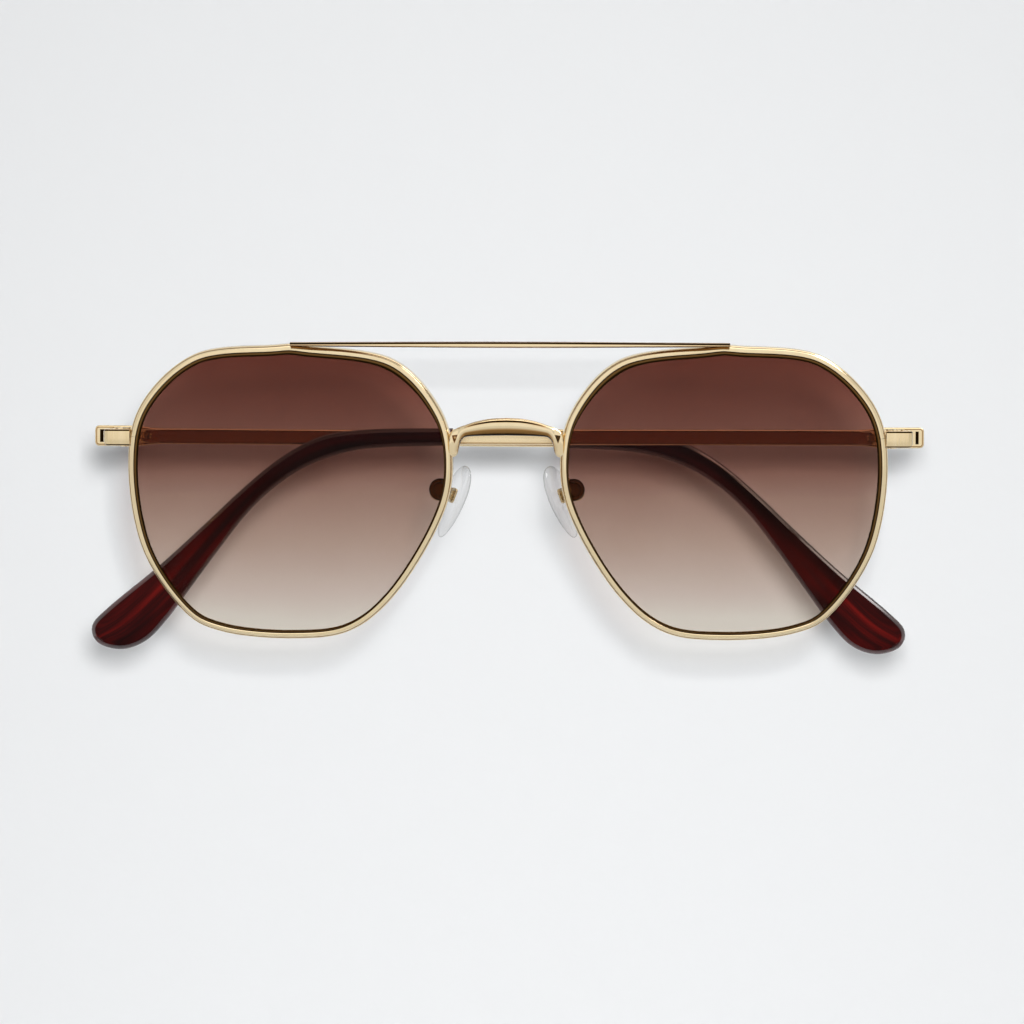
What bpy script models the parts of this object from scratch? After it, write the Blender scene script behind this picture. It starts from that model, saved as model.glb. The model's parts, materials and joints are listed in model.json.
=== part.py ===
"""Folding metal sunglasses with a double bridge, tinted lenses and rocking clear nose pads.

The temples are modelled folded. +X is the wearer's left, +Y runs from the lenses back towards
the head and +Z is up. The origin lies midway between the two nose pads.
"""

import math

import bmesh
import bpy
from mathutils import Matrix, Vector

MM = 0.001

# The datum is where the front's reference plane crosses the hinge height. Lengths are in mm.
FRONT_TILT = math.radians(6.0)

# Lens and rim outline, seen from the front about the lens centre. The nose is at +X.
RIM_OUTLINE = [
    (27.54, 3.72),
    (25.64, 13.8),
    (17.42, 22.62),
    (3.12, 24.94),
    (-2.76, 25.01),
    (-16.35, 23.26),
    (-25.59, 14.87),
    (-28.06, 4.3),
    (-25.88, -10.01),
    (-19.05, -20.79),
    (-12.12, -24.43),
    (-0.12, -25.35),
    (9.91, -23.91),
    (17.83, -17.4),
    (25.07, -5.69),
]
OUTLINE_STEPS = 4
LENS_SPACING = 36.8
LENS_DROP = 9.1
LENS_RADIUS = 88.0
LENS_FORWARD = 4.0
LENS_WRAP = math.radians(3.0)
LENS_THICKNESS = 1.5
LENS_CHAMFER = 0.42
LENS_RINGS = 3
RIM_WIDTH = 1.3
RIM_DEPTH = 2.2
GROOVE_DEPTH = 0.5
GROOVE_GAP = 0.09
RIM_SPLIT = 0.12
RIM_SLANT = 0.31

# Brow bar and bridge, in the plane of the front.
BROW_HALF_LENGTH = 37.0
BROW_CENTRE = 0.6
BROW_TOP = 16.66
BROW_BOTTOM = 15.7
BROW_END_TOP = 16.5
BROW_END_BOTTOM = 15.88
BROW_DEPTH = 1.4
BROW_FORWARD = 2.05
BRIDGE_PATH = [
    (8.2, -2.3, 0.5),
    (8.3, -0.9, 0.52),
    (7.95, 0.55, 0.66),
    (6.6, 1.6, 0.86),
    (3.4, 2.15, 0.97),
    (0.0, 2.3, 1.0),
]
BRIDGE_HEIGHT = 2.9
BRIDGE_DEPTH = 1.7
BRIDGE_FORWARD = 1.6

# End pieces, rim locks and hinges.
HINGE_X = 67.0
HINGE_Y = 9.6
END_PIECE_HEIGHT = 2.8
STRIP_THICKNESS = 1.2
END_PIECE_START = 64.95
END_PIECE_Y = 2.15
END_PIECE_BEND = 1.8
BUTT_LENGTH = 4.5
BUTT_GAP = 0.1
BAR_OFFSET = 1.1
KNUCKLE_RADIUS = 1.04
KNUCKLE_HALF_HEIGHT = 0.5
KNUCKLE_TOP = 1.5
KNUCKLE_GAP = 0.06
HINGE_SCREW_RADIUS = 0.46
HINGE_BORE_RADIUS = 0.52
HINGE_HEAD_RADIUS = 0.7
HINGE_HEAD_HEIGHT = 0.35
LEAF_INNER = 0.4
LEAF_OUTER = 1.06
LEAF_HALF_HEIGHT = 1.35
ARM_INSET = 0.05
LOCK_BLOCK = (63.35, 66.2, 3.45, 5.2)
LOCK_HALF_HEIGHT = 1.65
LOCK_SPLIT = 0.05
LOCK_SCREW_PLACE = (65.0, 3.85)
LOCK_SCREW_RADIUS = 0.45
LOCK_HEAD_RADIUS = 0.7

# Temples. Their shapes are drawn flat: distance from the hinge axis, then height.
FOLD_TOWARDS_LENS = math.radians(1.5)
FOLD_AWAY_FROM_LENS = math.radians(1.0)
BAR_HEIGHT = 2.7
BUTT_HEIGHT = 3.6
SLEEVE_START = 76.5
CORE_LENGTH_INTO_BAR = 3.0
BEND_START = 84.0
SLEEVE_THICKNESS = 2.8
SLEEVE_ROUNDING = 0.8
SLEEVE_TOP = [(76.5, 1.5), (88.0, 1.4), (95.0, 0.9), (99.0, 0.05), (103.0, -1.7), (108.0, -5.0)]
SLEEVE_FLANK = [(113.5, -9.7), (119.0, -14.9), (127.0, -22.2), (135.5, -29.2)]
SLEEVE_END = [(138.6, -32.6), (137.6, -35.6), (133.5, -36.7), (129.3, -35.2)]
SLEEVE_UNDERSIDE = [(125.6, -31.4), (121.5, -25.9), (116.5, -19.1), (111.5, -12.8), (106.5, -8.2)]
SLEEVE_BOTTOM = [(101.0, -4.8), (94.5, -2.6), (88.0, -1.8), (76.5, -1.5)]
CORE_PATH = [(76.5, 0.0), (88.0, -0.2), (95.0, -0.9), (101.0, -2.8), (107.0, -6.6), (113.0, -12.2)]
CORE_TAIL = [(118.5, -18.2), (124.0, -24.4), (129.0, -29.4)]
CORE_HEIGHT = 1.5
CORE_THICKNESS = 0.9
CORE_CLEARANCE = 0.05
TEMPLE_BEND_SHIFT = {1: 0.0, -1: -2.8}
TEMPLE_DROOP = {1: 0.0, -1: math.radians(0.35)}

# Nose pads, measured from the datum.
PAD_CENTRE = (9.3, 6.3, -11.0)
PAD_LONG_AXIS = (-0.354, 0.0, 0.935)
PAD_FACE = (-0.883, 0.469, 0.0)
PAD_HALF_LENGTH = 6.5
PAD_HALF_WIDTH = 3.4
PAD_HALF_THICKNESS = 1.0
PAD_TAPER = 0.28
PIVOT_BEHIND_PAD = 2.1
PIVOT_ABOVE_CENTRE = 1.0
BOX_LENGTH = 2.6
BOX_WIDTH = 2.0
BOX_THICKNESS = 1.5
BOX_SLOT = 0.8
TAB_THICKNESS = 0.6
TAB_HALF_HEIGHT = 0.8
PAD_SCREW_RADIUS = 0.28
PAD_BORE_RADIUS = 0.36
PAD_HEAD_RADIUS = 0.5
PAD_HEAD_HEIGHT = 0.3
LUG_PLATE = (0.4, 1.8, 2.6)
LUG_GAP = 0.05
ARM_RADIUS = 0.52
ARM_PATH = [
    (10.2, 0.9, -6.9),
    (10.4, 1.9, -8.0),
    (10.9, 2.7, -9.5),
    (11.8, 3.2, -10.2),
    (12.65, 3.7, -9.7),
]

SIDES = {"right": -1, "left": 1}
BIG_ROUND = 20
SMALL_ROUND = 12


# Scene, collections and materials


def clear_scene():
    for obj in list(bpy.data.objects):
        bpy.data.objects.remove(obj, do_unlink=True)


def new_collection(name):
    collection = bpy.data.collections.new(name)
    bpy.context.scene.collection.children.link(collection)
    return collection


def new_material(name, colour, metallic, roughness, alpha=1.0):
    material = bpy.data.materials.new(name)
    material.use_nodes = True
    shader = material.node_tree.nodes["Principled BSDF"]
    shader.inputs["Base Color"].default_value = (*colour, 1.0)
    shader.inputs["Metallic"].default_value = metallic
    shader.inputs["Roughness"].default_value = roughness
    shader.inputs["Alpha"].default_value = alpha
    return material


clear_scene()
PARTS = new_collection("aviator_sunglasses")
CUTTERS = new_collection("cutters")
GOLD = new_material("pale_gold", (0.86, 0.71, 0.43), 1.0, 0.16)
SCREW_METAL = new_material("screw_metal", (0.72, 0.60, 0.38), 1.0, 0.28)
TINT = new_material("brown_tint", (0.30, 0.15, 0.12), 0.0, 0.05, 0.62)
ACETATE = new_material("maroon_acetate", (0.12, 0.008, 0.008), 0.0, 0.12)
CLEAR = new_material("clear_pad", (0.90, 0.90, 0.90), 0.0, 0.08, 0.35)


# Curves and outlines


def smooth(points, steps, closed=False):
    """Points along a Catmull-Rom curve through the given points."""
    count = len(points)
    result = []
    for span in range(count if closed else count - 1):
        places = [span - 1, span, span + 1, span + 2]
        if closed:
            places = [place % count for place in places]
        else:
            places = [min(max(place, 0), count - 1) for place in places]
        before, start, end, after = [Vector(points[place]) for place in places]
        for step in range(steps):
            t = step / steps
            point = 2 * start + (end - before) * t
            point += (2 * before - 5 * start + 4 * end - after) * t**2
            point += (3 * start - before - 3 * end + after) * t**3
            result.append(point / 2)
    if not closed:
        result.append(Vector(points[-1]))
    return result


def inset(loop, distance):
    """The closed loop moved towards its inside; the loop runs anticlockwise."""
    moved = []
    for index, point in enumerate(loop):
        along = (loop[(index + 1) % len(loop)] - loop[index - 1]).normalized()
        moved.append(point + distance * Vector((-along.y, along.x)))
    return moved


def sag(point):
    """How far a point of the lens surface lies behind the lens centre."""
    return LENS_RADIUS - math.sqrt(LENS_RADIUS**2 - point.x**2 - point.y**2)


def lens_outline(side):
    """The rim's outer outline for one side, anticlockwise as seen from the front."""
    points = [(-side * x, z) for x, z in RIM_OUTLINE]
    if side == 1:
        points.reverse()
    return smooth(points, OUTLINE_STEPS, closed=True)


def rounded_rectangle(width, height, radius, corner_steps=2):
    """Anticlockwise points of a rectangle with round corners, about its centre."""
    points = []
    for quarter, (x, y) in enumerate([(1, -1), (1, 1), (-1, 1), (-1, -1)]):
        for step in range(corner_steps + 1):
            angle = math.pi / 2 * (quarter - 1 + step / corner_steps)
            across = x * (width / 2 - radius) + radius * math.cos(angle)
            points.append((across, y * (height / 2 - radius) + radius * math.sin(angle)))
    return points


# Objects


def add_object(name, data, parent, collection=PARTS):
    obj = bpy.data.objects.new(name, data)
    collection.objects.link(obj)
    obj.parent = parent
    return obj


def add_empty(name, parent, location=(0.0, 0.0, 0.0), rotation=None):
    empty = bpy.data.objects.new(name, None)
    PARTS.objects.link(empty)
    empty.empty_display_size = 0.005
    empty.parent = parent
    turn = rotation.to_4x4() if rotation else Matrix.Identity(4)
    empty.matrix_local = Matrix.Translation(Vector(location) * MM) @ turn
    return empty


def finish_mesh(bm, name, parent, material, collection=PARTS):
    bmesh.ops.recalc_face_normals(bm, faces=bm.faces)
    mesh = bpy.data.meshes.new(name)
    bm.to_mesh(mesh)
    bm.free()
    if material:
        mesh.materials.append(material)
    mesh.shade_smooth()
    mesh.set_sharp_from_angle(angle=math.radians(35))
    return add_object(name, mesh, parent, collection)


def box(name, low, high, parent, material=None):
    bm = bmesh.new()
    bmesh.ops.create_cube(bm, size=1.0)
    corners = [sorted(pair) for pair in zip(low, high)]
    size = Vector([pair[1] - pair[0] for pair in corners])
    middle = Vector([(pair[0] + pair[1]) / 2 for pair in corners])
    bmesh.ops.scale(bm, vec=size * MM, verts=bm.verts)
    bmesh.ops.translate(bm, vec=middle * MM, verts=bm.verts)
    return finish_mesh(bm, name, parent, material)


def rod(name, start, end, radius, parent, material=None, sides=SMALL_ROUND):
    start = Vector(start)
    along = Vector(end) - start
    bm = bmesh.new()
    bmesh.ops.create_cone(
        bm,
        cap_ends=True,
        segments=sides,
        radius1=radius * MM,
        radius2=radius * MM,
        depth=along.length * MM,
    )
    turn = Vector((0, 0, 1)).rotation_difference(along.normalized()).to_matrix().to_4x4()
    place = Matrix.Translation((start + along / 2) * MM) @ turn
    bmesh.ops.transform(bm, matrix=place, verts=bm.verts)
    return finish_mesh(bm, name, parent, material)


def curve_object(name, path, parent, closed=False):
    """A curve through path points of (x, y, z), with a fourth number for its thickness."""
    curve = bpy.data.curves.new(name, "CURVE")
    curve.dimensions = "3D"
    curve.use_fill_caps = True
    spline = curve.splines.new("POLY")
    spline.points.add(len(path) - 1)
    for target, point in zip(spline.points, path):
        target.co = (point[0] * MM, point[1] * MM, point[2] * MM, 1.0)
        target.radius = point[3] if len(point) > 3 else 1.0
    spline.use_cyclic_u = closed
    return add_object(name, curve, parent)


def as_mesh(obj, material=None, shift=None):
    """Replaces a curve object by its welded mesh."""
    bpy.context.view_layer.update()
    graph = bpy.context.evaluated_depsgraph_get()
    mesh = bpy.data.meshes.new_from_object(obj.evaluated_get(graph))
    bm = bmesh.new()
    bm.from_mesh(mesh)
    bmesh.ops.remove_doubles(bm, verts=bm.verts, dist=1e-7)
    bmesh.ops.translate(bm, vec=Vector(shift or (0, 0, 0)) * MM, verts=bm.verts)
    name, parent = obj.name, obj.parent
    bpy.data.objects.remove(obj)
    return finish_mesh(bm, name, parent, material)


def flat_solid(name, loop, low, high, parent, material=None):
    """A closed outline in the parent's XY plane, solid between two heights along Z."""
    obj = curve_object(name, [(point[0], point[1], 0.0) for point in loop], parent, closed=True)
    obj.data.dimensions = "2D"
    obj.data.fill_mode = "BOTH"
    obj.data.extrude = abs(high - low) / 2 * MM
    return as_mesh(obj, material, (0, 0, (low + high) / 2))


def swept(name, path, profile, parent, material=None):
    """A closed profile carried along a path, its Y axis staying close to the parent's Z."""
    guide = curve_object(name + "_profile", [(x, y, 0.0) for x, y in profile], None, closed=True)
    guide.data.dimensions = "2D"
    guide.data.fill_mode = "NONE"
    obj = curve_object(name, path, parent)
    obj.data.twist_mode = "Z_UP"
    obj.data.bevel_mode = "OBJECT"
    obj.data.bevel_object = guide
    obj = as_mesh(obj, material)
    bpy.data.objects.remove(guide)
    return obj


def wire(name, path, radius, parent, material=None):
    obj = curve_object(name, path, parent)
    obj.data.bevel_depth = radius * MM
    obj.data.bevel_resolution = 2
    return as_mesh(obj, material)


def combine(target, other, operation):
    """Adds a Boolean modifier, and turns the other object into a hidden cutter."""
    PARTS.objects.unlink(other)
    CUTTERS.objects.link(other)
    other.hide_render = True
    other.display_type = "WIRE"
    modifier = target.modifiers.new(other.name, "BOOLEAN")
    modifier.operation = operation
    modifier.object = other
    modifier.solver = "EXACT"


def unite(target, *others):
    for other in others:
        combine(target, other, "UNION")


def cut(target, *others):
    for other in others:
        combine(target, other, "DIFFERENCE")


def soften(obj, width, segments=1):
    modifier = obj.modifiers.new("rounding", "BEVEL")
    modifier.width = width * MM
    modifier.segments = segments
    modifier.limit_method = "ANGLE"
    modifier.angle_limit = math.radians(50)


# Front: rims, lenses, brow bar and bridge


def rim_profile():
    """Across the rim, +X away from the lens and +Y to the front, slanted like the lens's edge."""
    half_width = RIM_WIDTH / 2
    half_depth = RIM_DEPTH / 2
    lip = LENS_THICKNESS / 2 + GROOVE_GAP
    floor = GROOVE_DEPTH - half_width
    points = [
        (half_width, 0.55 * half_depth),
        (0.8 * half_width, 0.85 * half_depth),
        (0.3 * half_width, half_depth),
        (-0.6 * half_width, half_depth),
        (-half_width, 0.88 * half_depth),
        (-half_width, lip),
        (floor, lip - LENS_CHAMFER),
        (floor, LENS_CHAMFER - lip),
        (-half_width, -lip),
        (-half_width, -0.88 * half_depth),
        (-0.6 * half_width, -half_depth),
        (0.6 * half_width, -half_depth),
        (half_width, -0.65 * half_depth),
    ]
    return [(x, y - RIM_SLANT * x) for x, y in points]


def make_rim(label, side, lens_frame):
    """The rim is open behind the end piece, where the rim lock closes it."""
    loop = inset(lens_outline(side), RIM_WIDTH / 2)
    path = [Vector((point.x, point.y, -sag(point))) for point in loop]
    temple_side = [index for index, point in enumerate(path) if side * point.x > 0]
    nearest = min(temple_side, key=lambda index: abs(path[index].y - LENS_DROP))
    path = path[nearest + 1 :] + path[:nearest]
    for end, neighbour in ((0, 1), (-1, -2)):
        slope = path[end] - path[neighbour]
        edge = LENS_DROP + math.copysign(RIM_SPLIT / 2, path[end].y - LENS_DROP)
        path[end] = path[neighbour] + slope * (edge - path[neighbour].y) / slope.y
    return swept(f"rim_{label}", path, rim_profile(), lens_frame, GOLD)


def make_lens(label, side, lens_frame):
    """A spherical shell whose chamfered edge sits in the rim's groove."""
    loop = inset(lens_outline(side), RIM_WIDTH - GROOVE_DEPTH + GROOVE_GAP)
    bm = bmesh.new()
    centre = bm.verts.new((0.0, 0.0, 0.0))
    edge = [bm.verts.new((point.x, point.y, 0.0)) for point in loop]
    for first, second in zip(edge, edge[1:] + edge[:1]):
        bm.faces.new((centre, first, second))
    spokes = list(centre.link_edges)
    bmesh.ops.subdivide_edges(bm, edges=spokes, cuts=LENS_RINGS, use_grid_fill=True)
    raised = bmesh.ops.extrude_face_region(bm, geom=list(bm.faces))["geom"]
    raised = [item for item in raised if isinstance(item, bmesh.types.BMVert)]
    bmesh.ops.translate(bm, vec=(0.0, 0.0, LENS_THICKNESS), verts=raised)
    for vert in bm.verts:
        vert.co.z -= LENS_THICKNESS / 2 + sag(vert.co)
        vert.co *= MM
    obj = finish_mesh(bm, f"lens_{label}", lens_frame, TINT)
    soften(obj, LENS_CHAMFER)
    return obj


def make_brow_bar(front_plane):
    """A thin arched strip, fixed across the tops of both rims."""
    half = BROW_HALF_LENGTH
    start = BROW_CENTRE - half
    end = BROW_CENTRE + half
    top = smooth([(start, BROW_END_TOP), (0.0, BROW_TOP), (end, BROW_END_TOP)], 6)
    under = smooth([(end, BROW_END_BOTTOM), (0.0, BROW_BOTTOM), (start, BROW_END_BOTTOM)], 6)
    low = BROW_FORWARD - BROW_DEPTH / 2
    bar = flat_solid("brow_bar", top + under, low, low + BROW_DEPTH, front_plane, GOLD)
    soften(bar, 0.15)
    return bar


def make_bridge(front_plane):
    """An arched strip whose narrow ends turn down against the rims."""
    half = smooth([(x, height, scale) for x, height, scale in BRIDGE_PATH], 3)
    whole = half + [Vector((-point.x, point.y, point.z)) for point in reversed(half[:-1])]
    path = [(point.x, point.y, BRIDGE_FORWARD, point.z) for point in whole]
    profile = rounded_rectangle(BRIDGE_HEIGHT, BRIDGE_DEPTH, 0.6)
    return swept("bridge", path, profile, front_plane, GOLD)


# End pieces, rim locks and hinges


def make_end_piece(label, side, datum):
    """A strip that leaves the rim sideways and bends back towards the temple."""
    outer = HINGE_X + BAR_OFFSET + STRIP_THICKNESS / 2
    bend_x = outer - END_PIECE_BEND
    bend_y = END_PIECE_Y + END_PIECE_BEND
    path = [(side * END_PIECE_START, END_PIECE_Y, 0.0)]
    for step in range(7):
        angle = math.pi / 2 * (step / 6 - 1)
        x = bend_x + END_PIECE_BEND * math.cos(angle)
        path.append((side * x, bend_y + END_PIECE_BEND * math.sin(angle), 0.0))
    path.append((side * outer, HINGE_Y - BUTT_LENGTH - BUTT_GAP, 0.0))
    profile = rounded_rectangle(STRIP_THICKNESS, END_PIECE_HEIGHT, 0.25, 1)
    return swept(f"end_piece_{label}", path, profile, datum, GOLD)


def make_front_leaf(label, side, hinge):
    """The two outer knuckles of the hinge and the leaf on the end piece."""
    name = f"front_hinge_{label}"
    low = KNUCKLE_HALF_HEIGHT + KNUCKLE_GAP
    leaf_end = END_PIECE_Y + END_PIECE_BEND + 0.05 - HINGE_Y
    leaf_start = -KNUCKLE_RADIUS - 0.3
    leaf = box(
        name,
        (side * LEAF_INNER, leaf_end, -LEAF_HALF_HEIGHT),
        (side * LEAF_OUTER, leaf_start, LEAF_HALF_HEIGHT),
        hinge,
        GOLD,
    )
    for level in (1, -1):
        tag = f"{name}_{'upper' if level > 0 else 'lower'}"
        start = (side * (LEAF_INNER + ARM_INSET), leaf_start - 0.4, level * (low + ARM_INSET))
        reach = (side * (LEAF_OUTER - ARM_INSET), 0.0, level * (KNUCKLE_TOP - ARM_INSET))
        arm = box(f"{tag}_arm", start, reach, hinge)
        ends = [(0, 0, level * low), (0, 0, level * KNUCKLE_TOP)]
        knuckle = rod(f"{tag}_knuckle", *ends, KNUCKLE_RADIUS, hinge, sides=BIG_ROUND)
        unite(leaf, arm, knuckle)
    bore = rod(f"{name}_bore", (0, 0, -1.2), (0, 0, 2), HINGE_BORE_RADIUS, hinge)
    seat_floor = KNUCKLE_TOP - HINGE_HEAD_HEIGHT - 0.05
    seat = rod(f"{name}_seat", (0, 0, seat_floor), (0, 0, 2), HINGE_HEAD_RADIUS + 0.06, hinge)
    cut(leaf, bore, seat)
    return leaf


def make_hinge_screw(label, hinge):
    """A countersunk screw, put in from above, that is the hinge's pin."""
    name = f"hinge_screw_{label}"
    head_floor = KNUCKLE_TOP - HINGE_HEAD_HEIGHT
    top = KNUCKLE_TOP - 0.02
    screw = rod(name, (0, 0, head_floor), (0, 0, top), HINGE_HEAD_RADIUS, hinge, SCREW_METAL)
    shank = rod(f"{name}_shank", (0, 0, -1.15), (0, 0, top - 0.1), HINGE_SCREW_RADIUS, hinge)
    slot = box(f"{name}_slot", (-1, -0.09, top - 0.18), (1, 0.09, top + 0.2), hinge)
    unite(screw, shank)
    cut(screw, slot)
    return screw


def make_rim_lock(label, side, datum):
    """Two blocks behind the rim's open ends, drawn together by a screw."""
    x_low, x_high, y_low, y_high = LOCK_BLOCK
    screw_x, screw_y = LOCK_SCREW_PLACE
    for name, level in ((f"rim_lock_upper_{label}", 1), (f"rim_lock_lower_{label}", -1)):
        low = (side * x_low, y_low, level * LOCK_SPLIT)
        block = box(name, low, (side * x_high, y_high, level * LOCK_HALF_HEIGHT), datum, GOLD)
        soften(block, 0.15)
        ends = [(side * screw_x, screw_y, -2.5), (side * screw_x, screw_y, 2.5)]
        cut(block, rod(f"{name}_bore", *ends, LOCK_SCREW_RADIUS + 0.05, datum))
        if level > 0:
            ends[0] = (side * screw_x, screw_y, LOCK_HALF_HEIGHT - 0.4)
            cut(block, rod(f"{name}_seat", *ends, LOCK_HEAD_RADIUS + 0.05, datum))
    name = f"rim_lock_screw_{label}"
    top = LOCK_HALF_HEIGHT - 0.03
    ends = [(side * screw_x, screw_y, LOCK_HALF_HEIGHT - 0.36), (side * screw_x, screw_y, top)]
    screw = rod(name, *ends, LOCK_HEAD_RADIUS, datum, SCREW_METAL)
    ends = [(side * screw_x, screw_y, -LOCK_HALF_HEIGHT + 0.1), (side * screw_x, screw_y, top - 0.1)]
    unite(screw, rod(f"{name}_shank", *ends, LOCK_SCREW_RADIUS, datum))
    low = (side * screw_x - 1, screw_y - 0.09, top - 0.18)
    cut(screw, box(f"{name}_slot", low, (side * screw_x + 1, screw_y + 0.09, top + 0.2), datum))


# Temples


def bent(points, side):
    """Temple points with the bend moved for this side."""
    shift = TEMPLE_BEND_SHIFT[side]
    return [(x + shift * (x > BEND_START), *rest) for x, *rest in points]


def core_path(side):
    """The middle of the temple's metal core, from inside the bar to the sleeve's end."""
    points = smooth(bent(CORE_PATH + CORE_TAIL, side), 2)
    start = Vector((SLEEVE_START - CORE_LENGTH_INTO_BAR, 0.0))
    middle = side * (BAR_OFFSET + STRIP_THICKNESS / 2)
    return [(point.x, point.y, middle) for point in [start, *points]]


def make_temple_bar(label, side, line):
    """A flat bar with a taller butt in front of the hinge and a thin core at its back."""
    half_butt = BUTT_HEIGHT / 2
    half_bar = BAR_HEIGHT / 2
    upper = [(-BUTT_LENGTH, half_butt), (-0.5, half_butt), (5.0, half_bar), (SLEEVE_START, half_bar)]
    loop = [(x, -height) for x, height in upper] + list(reversed(upper))
    low = side * BAR_OFFSET
    high = side * (BAR_OFFSET + STRIP_THICKNESS)
    bar = flat_solid(f"temple_bar_{label}", loop, low, high, line, GOLD)
    soften(bar, 0.28, 2)
    profile = rounded_rectangle(CORE_HEIGHT, CORE_THICKNESS, 0.2, 1)
    unite(bar, swept(f"temple_core_{label}", core_path(side), profile, line))
    return bar


def make_sleeve(label, side, line):
    """The acetate tip, drawn over the core."""
    points = SLEEVE_TOP + SLEEVE_FLANK + SLEEVE_END + SLEEVE_UNDERSIDE + SLEEVE_BOTTOM
    loop = list(reversed(smooth(bent(points, side), 2)))
    middle = side * (BAR_OFFSET + STRIP_THICKNESS / 2)
    half = SLEEVE_THICKNESS / 2
    sleeve = flat_solid(f"temple_tip_{label}", loop, middle - half, middle + half, line, ACETATE)
    soften(sleeve, SLEEVE_ROUNDING, 2)
    around = 2 * CORE_CLEARANCE
    profile = rounded_rectangle(CORE_HEIGHT + around, CORE_THICKNESS + around, 0.2, 1)
    path = core_path(side)
    tail = Vector(path[-1]) - Vector(path[-2])
    path[-1] = tuple(Vector(path[-1]) + tail.normalized() * CORE_CLEARANCE)
    cut(sleeve, swept(f"core_bore_{label}", path, profile, line))
    return sleeve


def make_temple_leaf(label, side, axis):
    """The middle knuckle and the leaf fixed to the temple bar."""
    name = f"temple_hinge_{label}"
    half = KNUCKLE_HALF_HEIGHT
    leaf_low = (KNUCKLE_RADIUS + 0.3, -1.1, side * LEAF_INNER)
    leaf = box(name, leaf_low, (6.8, 1.1, side * LEAF_OUTER), axis, GOLD)
    soften(leaf, 0.12)
    start = (0.0, ARM_INSET - half, side * (LEAF_INNER + ARM_INSET))
    reach = (2.0, half - ARM_INSET, side * (LEAF_OUTER - ARM_INSET))
    arm = box(f"{name}_arm", start, reach, axis)
    ends = [(0, -half, 0), (0, half, 0)]
    unite(leaf, arm, rod(f"{name}_knuckle", *ends, KNUCKLE_RADIUS, axis, sides=BIG_ROUND))
    cut(leaf, rod(f"{name}_bore", (0, -1, 0), (0, 1, 0), HINGE_BORE_RADIUS, axis))
    return leaf


# Nose pads


def pad_directions(side):
    """Unit vectors: into the nose, across the pad and along the pad."""
    long_axis = Vector((side * PAD_LONG_AXIS[0], *PAD_LONG_AXIS[1:])).normalized()
    face = Vector((side * PAD_FACE[0], *PAD_FACE[1:]))
    face = (face - face.dot(long_axis) * long_axis).normalized()
    return face, long_axis.cross(face), long_axis


def pad_pivot(side):
    """The place of the pad's screw, and the turn of the pad's own axes."""
    face, across, along = pad_directions(side)
    centre = Vector((side * PAD_CENTRE[0], *PAD_CENTRE[1:]))
    place = centre - PIVOT_BEHIND_PAD * face + PIVOT_ABOVE_CENTRE * along
    return place, Matrix((face, across, along)).transposed()


def make_pad(label, pivot):
    """A clear drop-shaped pad with a pocket for its metal lug."""
    bm = bmesh.new()
    bmesh.ops.create_uvsphere(bm, u_segments=14, v_segments=10, radius=1.0)
    for vert in bm.verts:
        taper = 1.0 + PAD_TAPER * vert.co.z
        vert.co.x *= PAD_HALF_THICKNESS
        vert.co.y *= PAD_HALF_WIDTH * taper
        vert.co.z *= PAD_HALF_LENGTH
        vert.co += Vector((PIVOT_BEHIND_PAD, 0.0, -PIVOT_ABOVE_CENTRE))
        vert.co *= MM
    pad = finish_mesh(bm, f"nose_pad_{label}", pivot, CLEAR)
    thickness, width, length = LUG_PLATE
    floor = PIVOT_BEHIND_PAD - PAD_HALF_THICKNESS + 0.25 + thickness + LUG_GAP
    low = (0.0, -width / 2 - LUG_GAP, -length / 2 - LUG_GAP)
    high = (floor, width / 2 + LUG_GAP, length / 2 + LUG_GAP)
    cut(pad, box(f"nose_pad_{label}_pocket", low, high, pivot))
    return pad


def make_lug(label, pivot):
    """The plate inside the pad and the tab that its screw passes through."""
    thickness, width, length = LUG_PLATE
    back = PIVOT_BEHIND_PAD - PAD_HALF_THICKNESS + 0.25
    name = f"pad_lug_{label}"
    low = (back, -width / 2, -length / 2)
    lug = box(name, low, (back + thickness, width / 2, length / 2), pivot, SCREW_METAL)
    half = TAB_THICKNESS / 2
    neck_low = (0.0, -half, -TAB_HALF_HEIGHT)
    neck = box(f"{name}_neck", neck_low, (back + thickness / 2, half, TAB_HALF_HEIGHT), pivot)
    eye = rod(f"{name}_eye", (0, -half, 0), (0, half, 0), TAB_HALF_HEIGHT, pivot)
    unite(lug, neck, eye)
    cut(lug, rod(f"{name}_bore", (0, -1, 0), (0, 1, 0), PAD_BORE_RADIUS, pivot))
    return lug


def make_pad_box(label, mount):
    """The small clevis that holds the pad's tab."""
    name = f"pad_box_{label}"
    half_width = BOX_WIDTH / 2
    half_length = BOX_LENGTH / 2
    back = -TAB_HALF_HEIGHT - 0.75
    low = (back, -half_width, -half_length)
    clevis = box(name, low, (back + BOX_THICKNESS + 0.7, half_width, half_length), mount, GOLD)
    soften(clevis, 0.18)
    slot_low = (-TAB_HALF_HEIGHT - 0.2, -BOX_SLOT / 2, -2)
    slot = box(f"{name}_slot", slot_low, (2, BOX_SLOT / 2, 2), mount)
    bore = rod(f"{name}_bore", (0, -2, 0), (0, 2, 0), PAD_SCREW_RADIUS + 0.05, mount)
    cut(clevis, slot, bore)
    return clevis


def make_pad_screw(label, side, mount):
    """The screw on which the pad rocks, with its head at the front."""
    name = f"pad_screw_{label}"
    front = side * (BOX_WIDTH / 2 + 0.03)
    end = front + side * PAD_HEAD_HEIGHT
    screw = rod(name, (0, front, 0), (0, end, 0), PAD_HEAD_RADIUS, mount, SCREW_METAL)
    inside = end - side * 0.1
    shank = rod(f"{name}_shank", (0, -front, 0), (0, inside, 0), PAD_SCREW_RADIUS, mount)
    slot_low = (-0.07, end - side * 0.15, -1)
    slot = box(f"{name}_slot", slot_low, (0.07, end + side * 0.1, 1), mount)
    unite(screw, shank)
    cut(screw, slot)
    return screw


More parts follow.
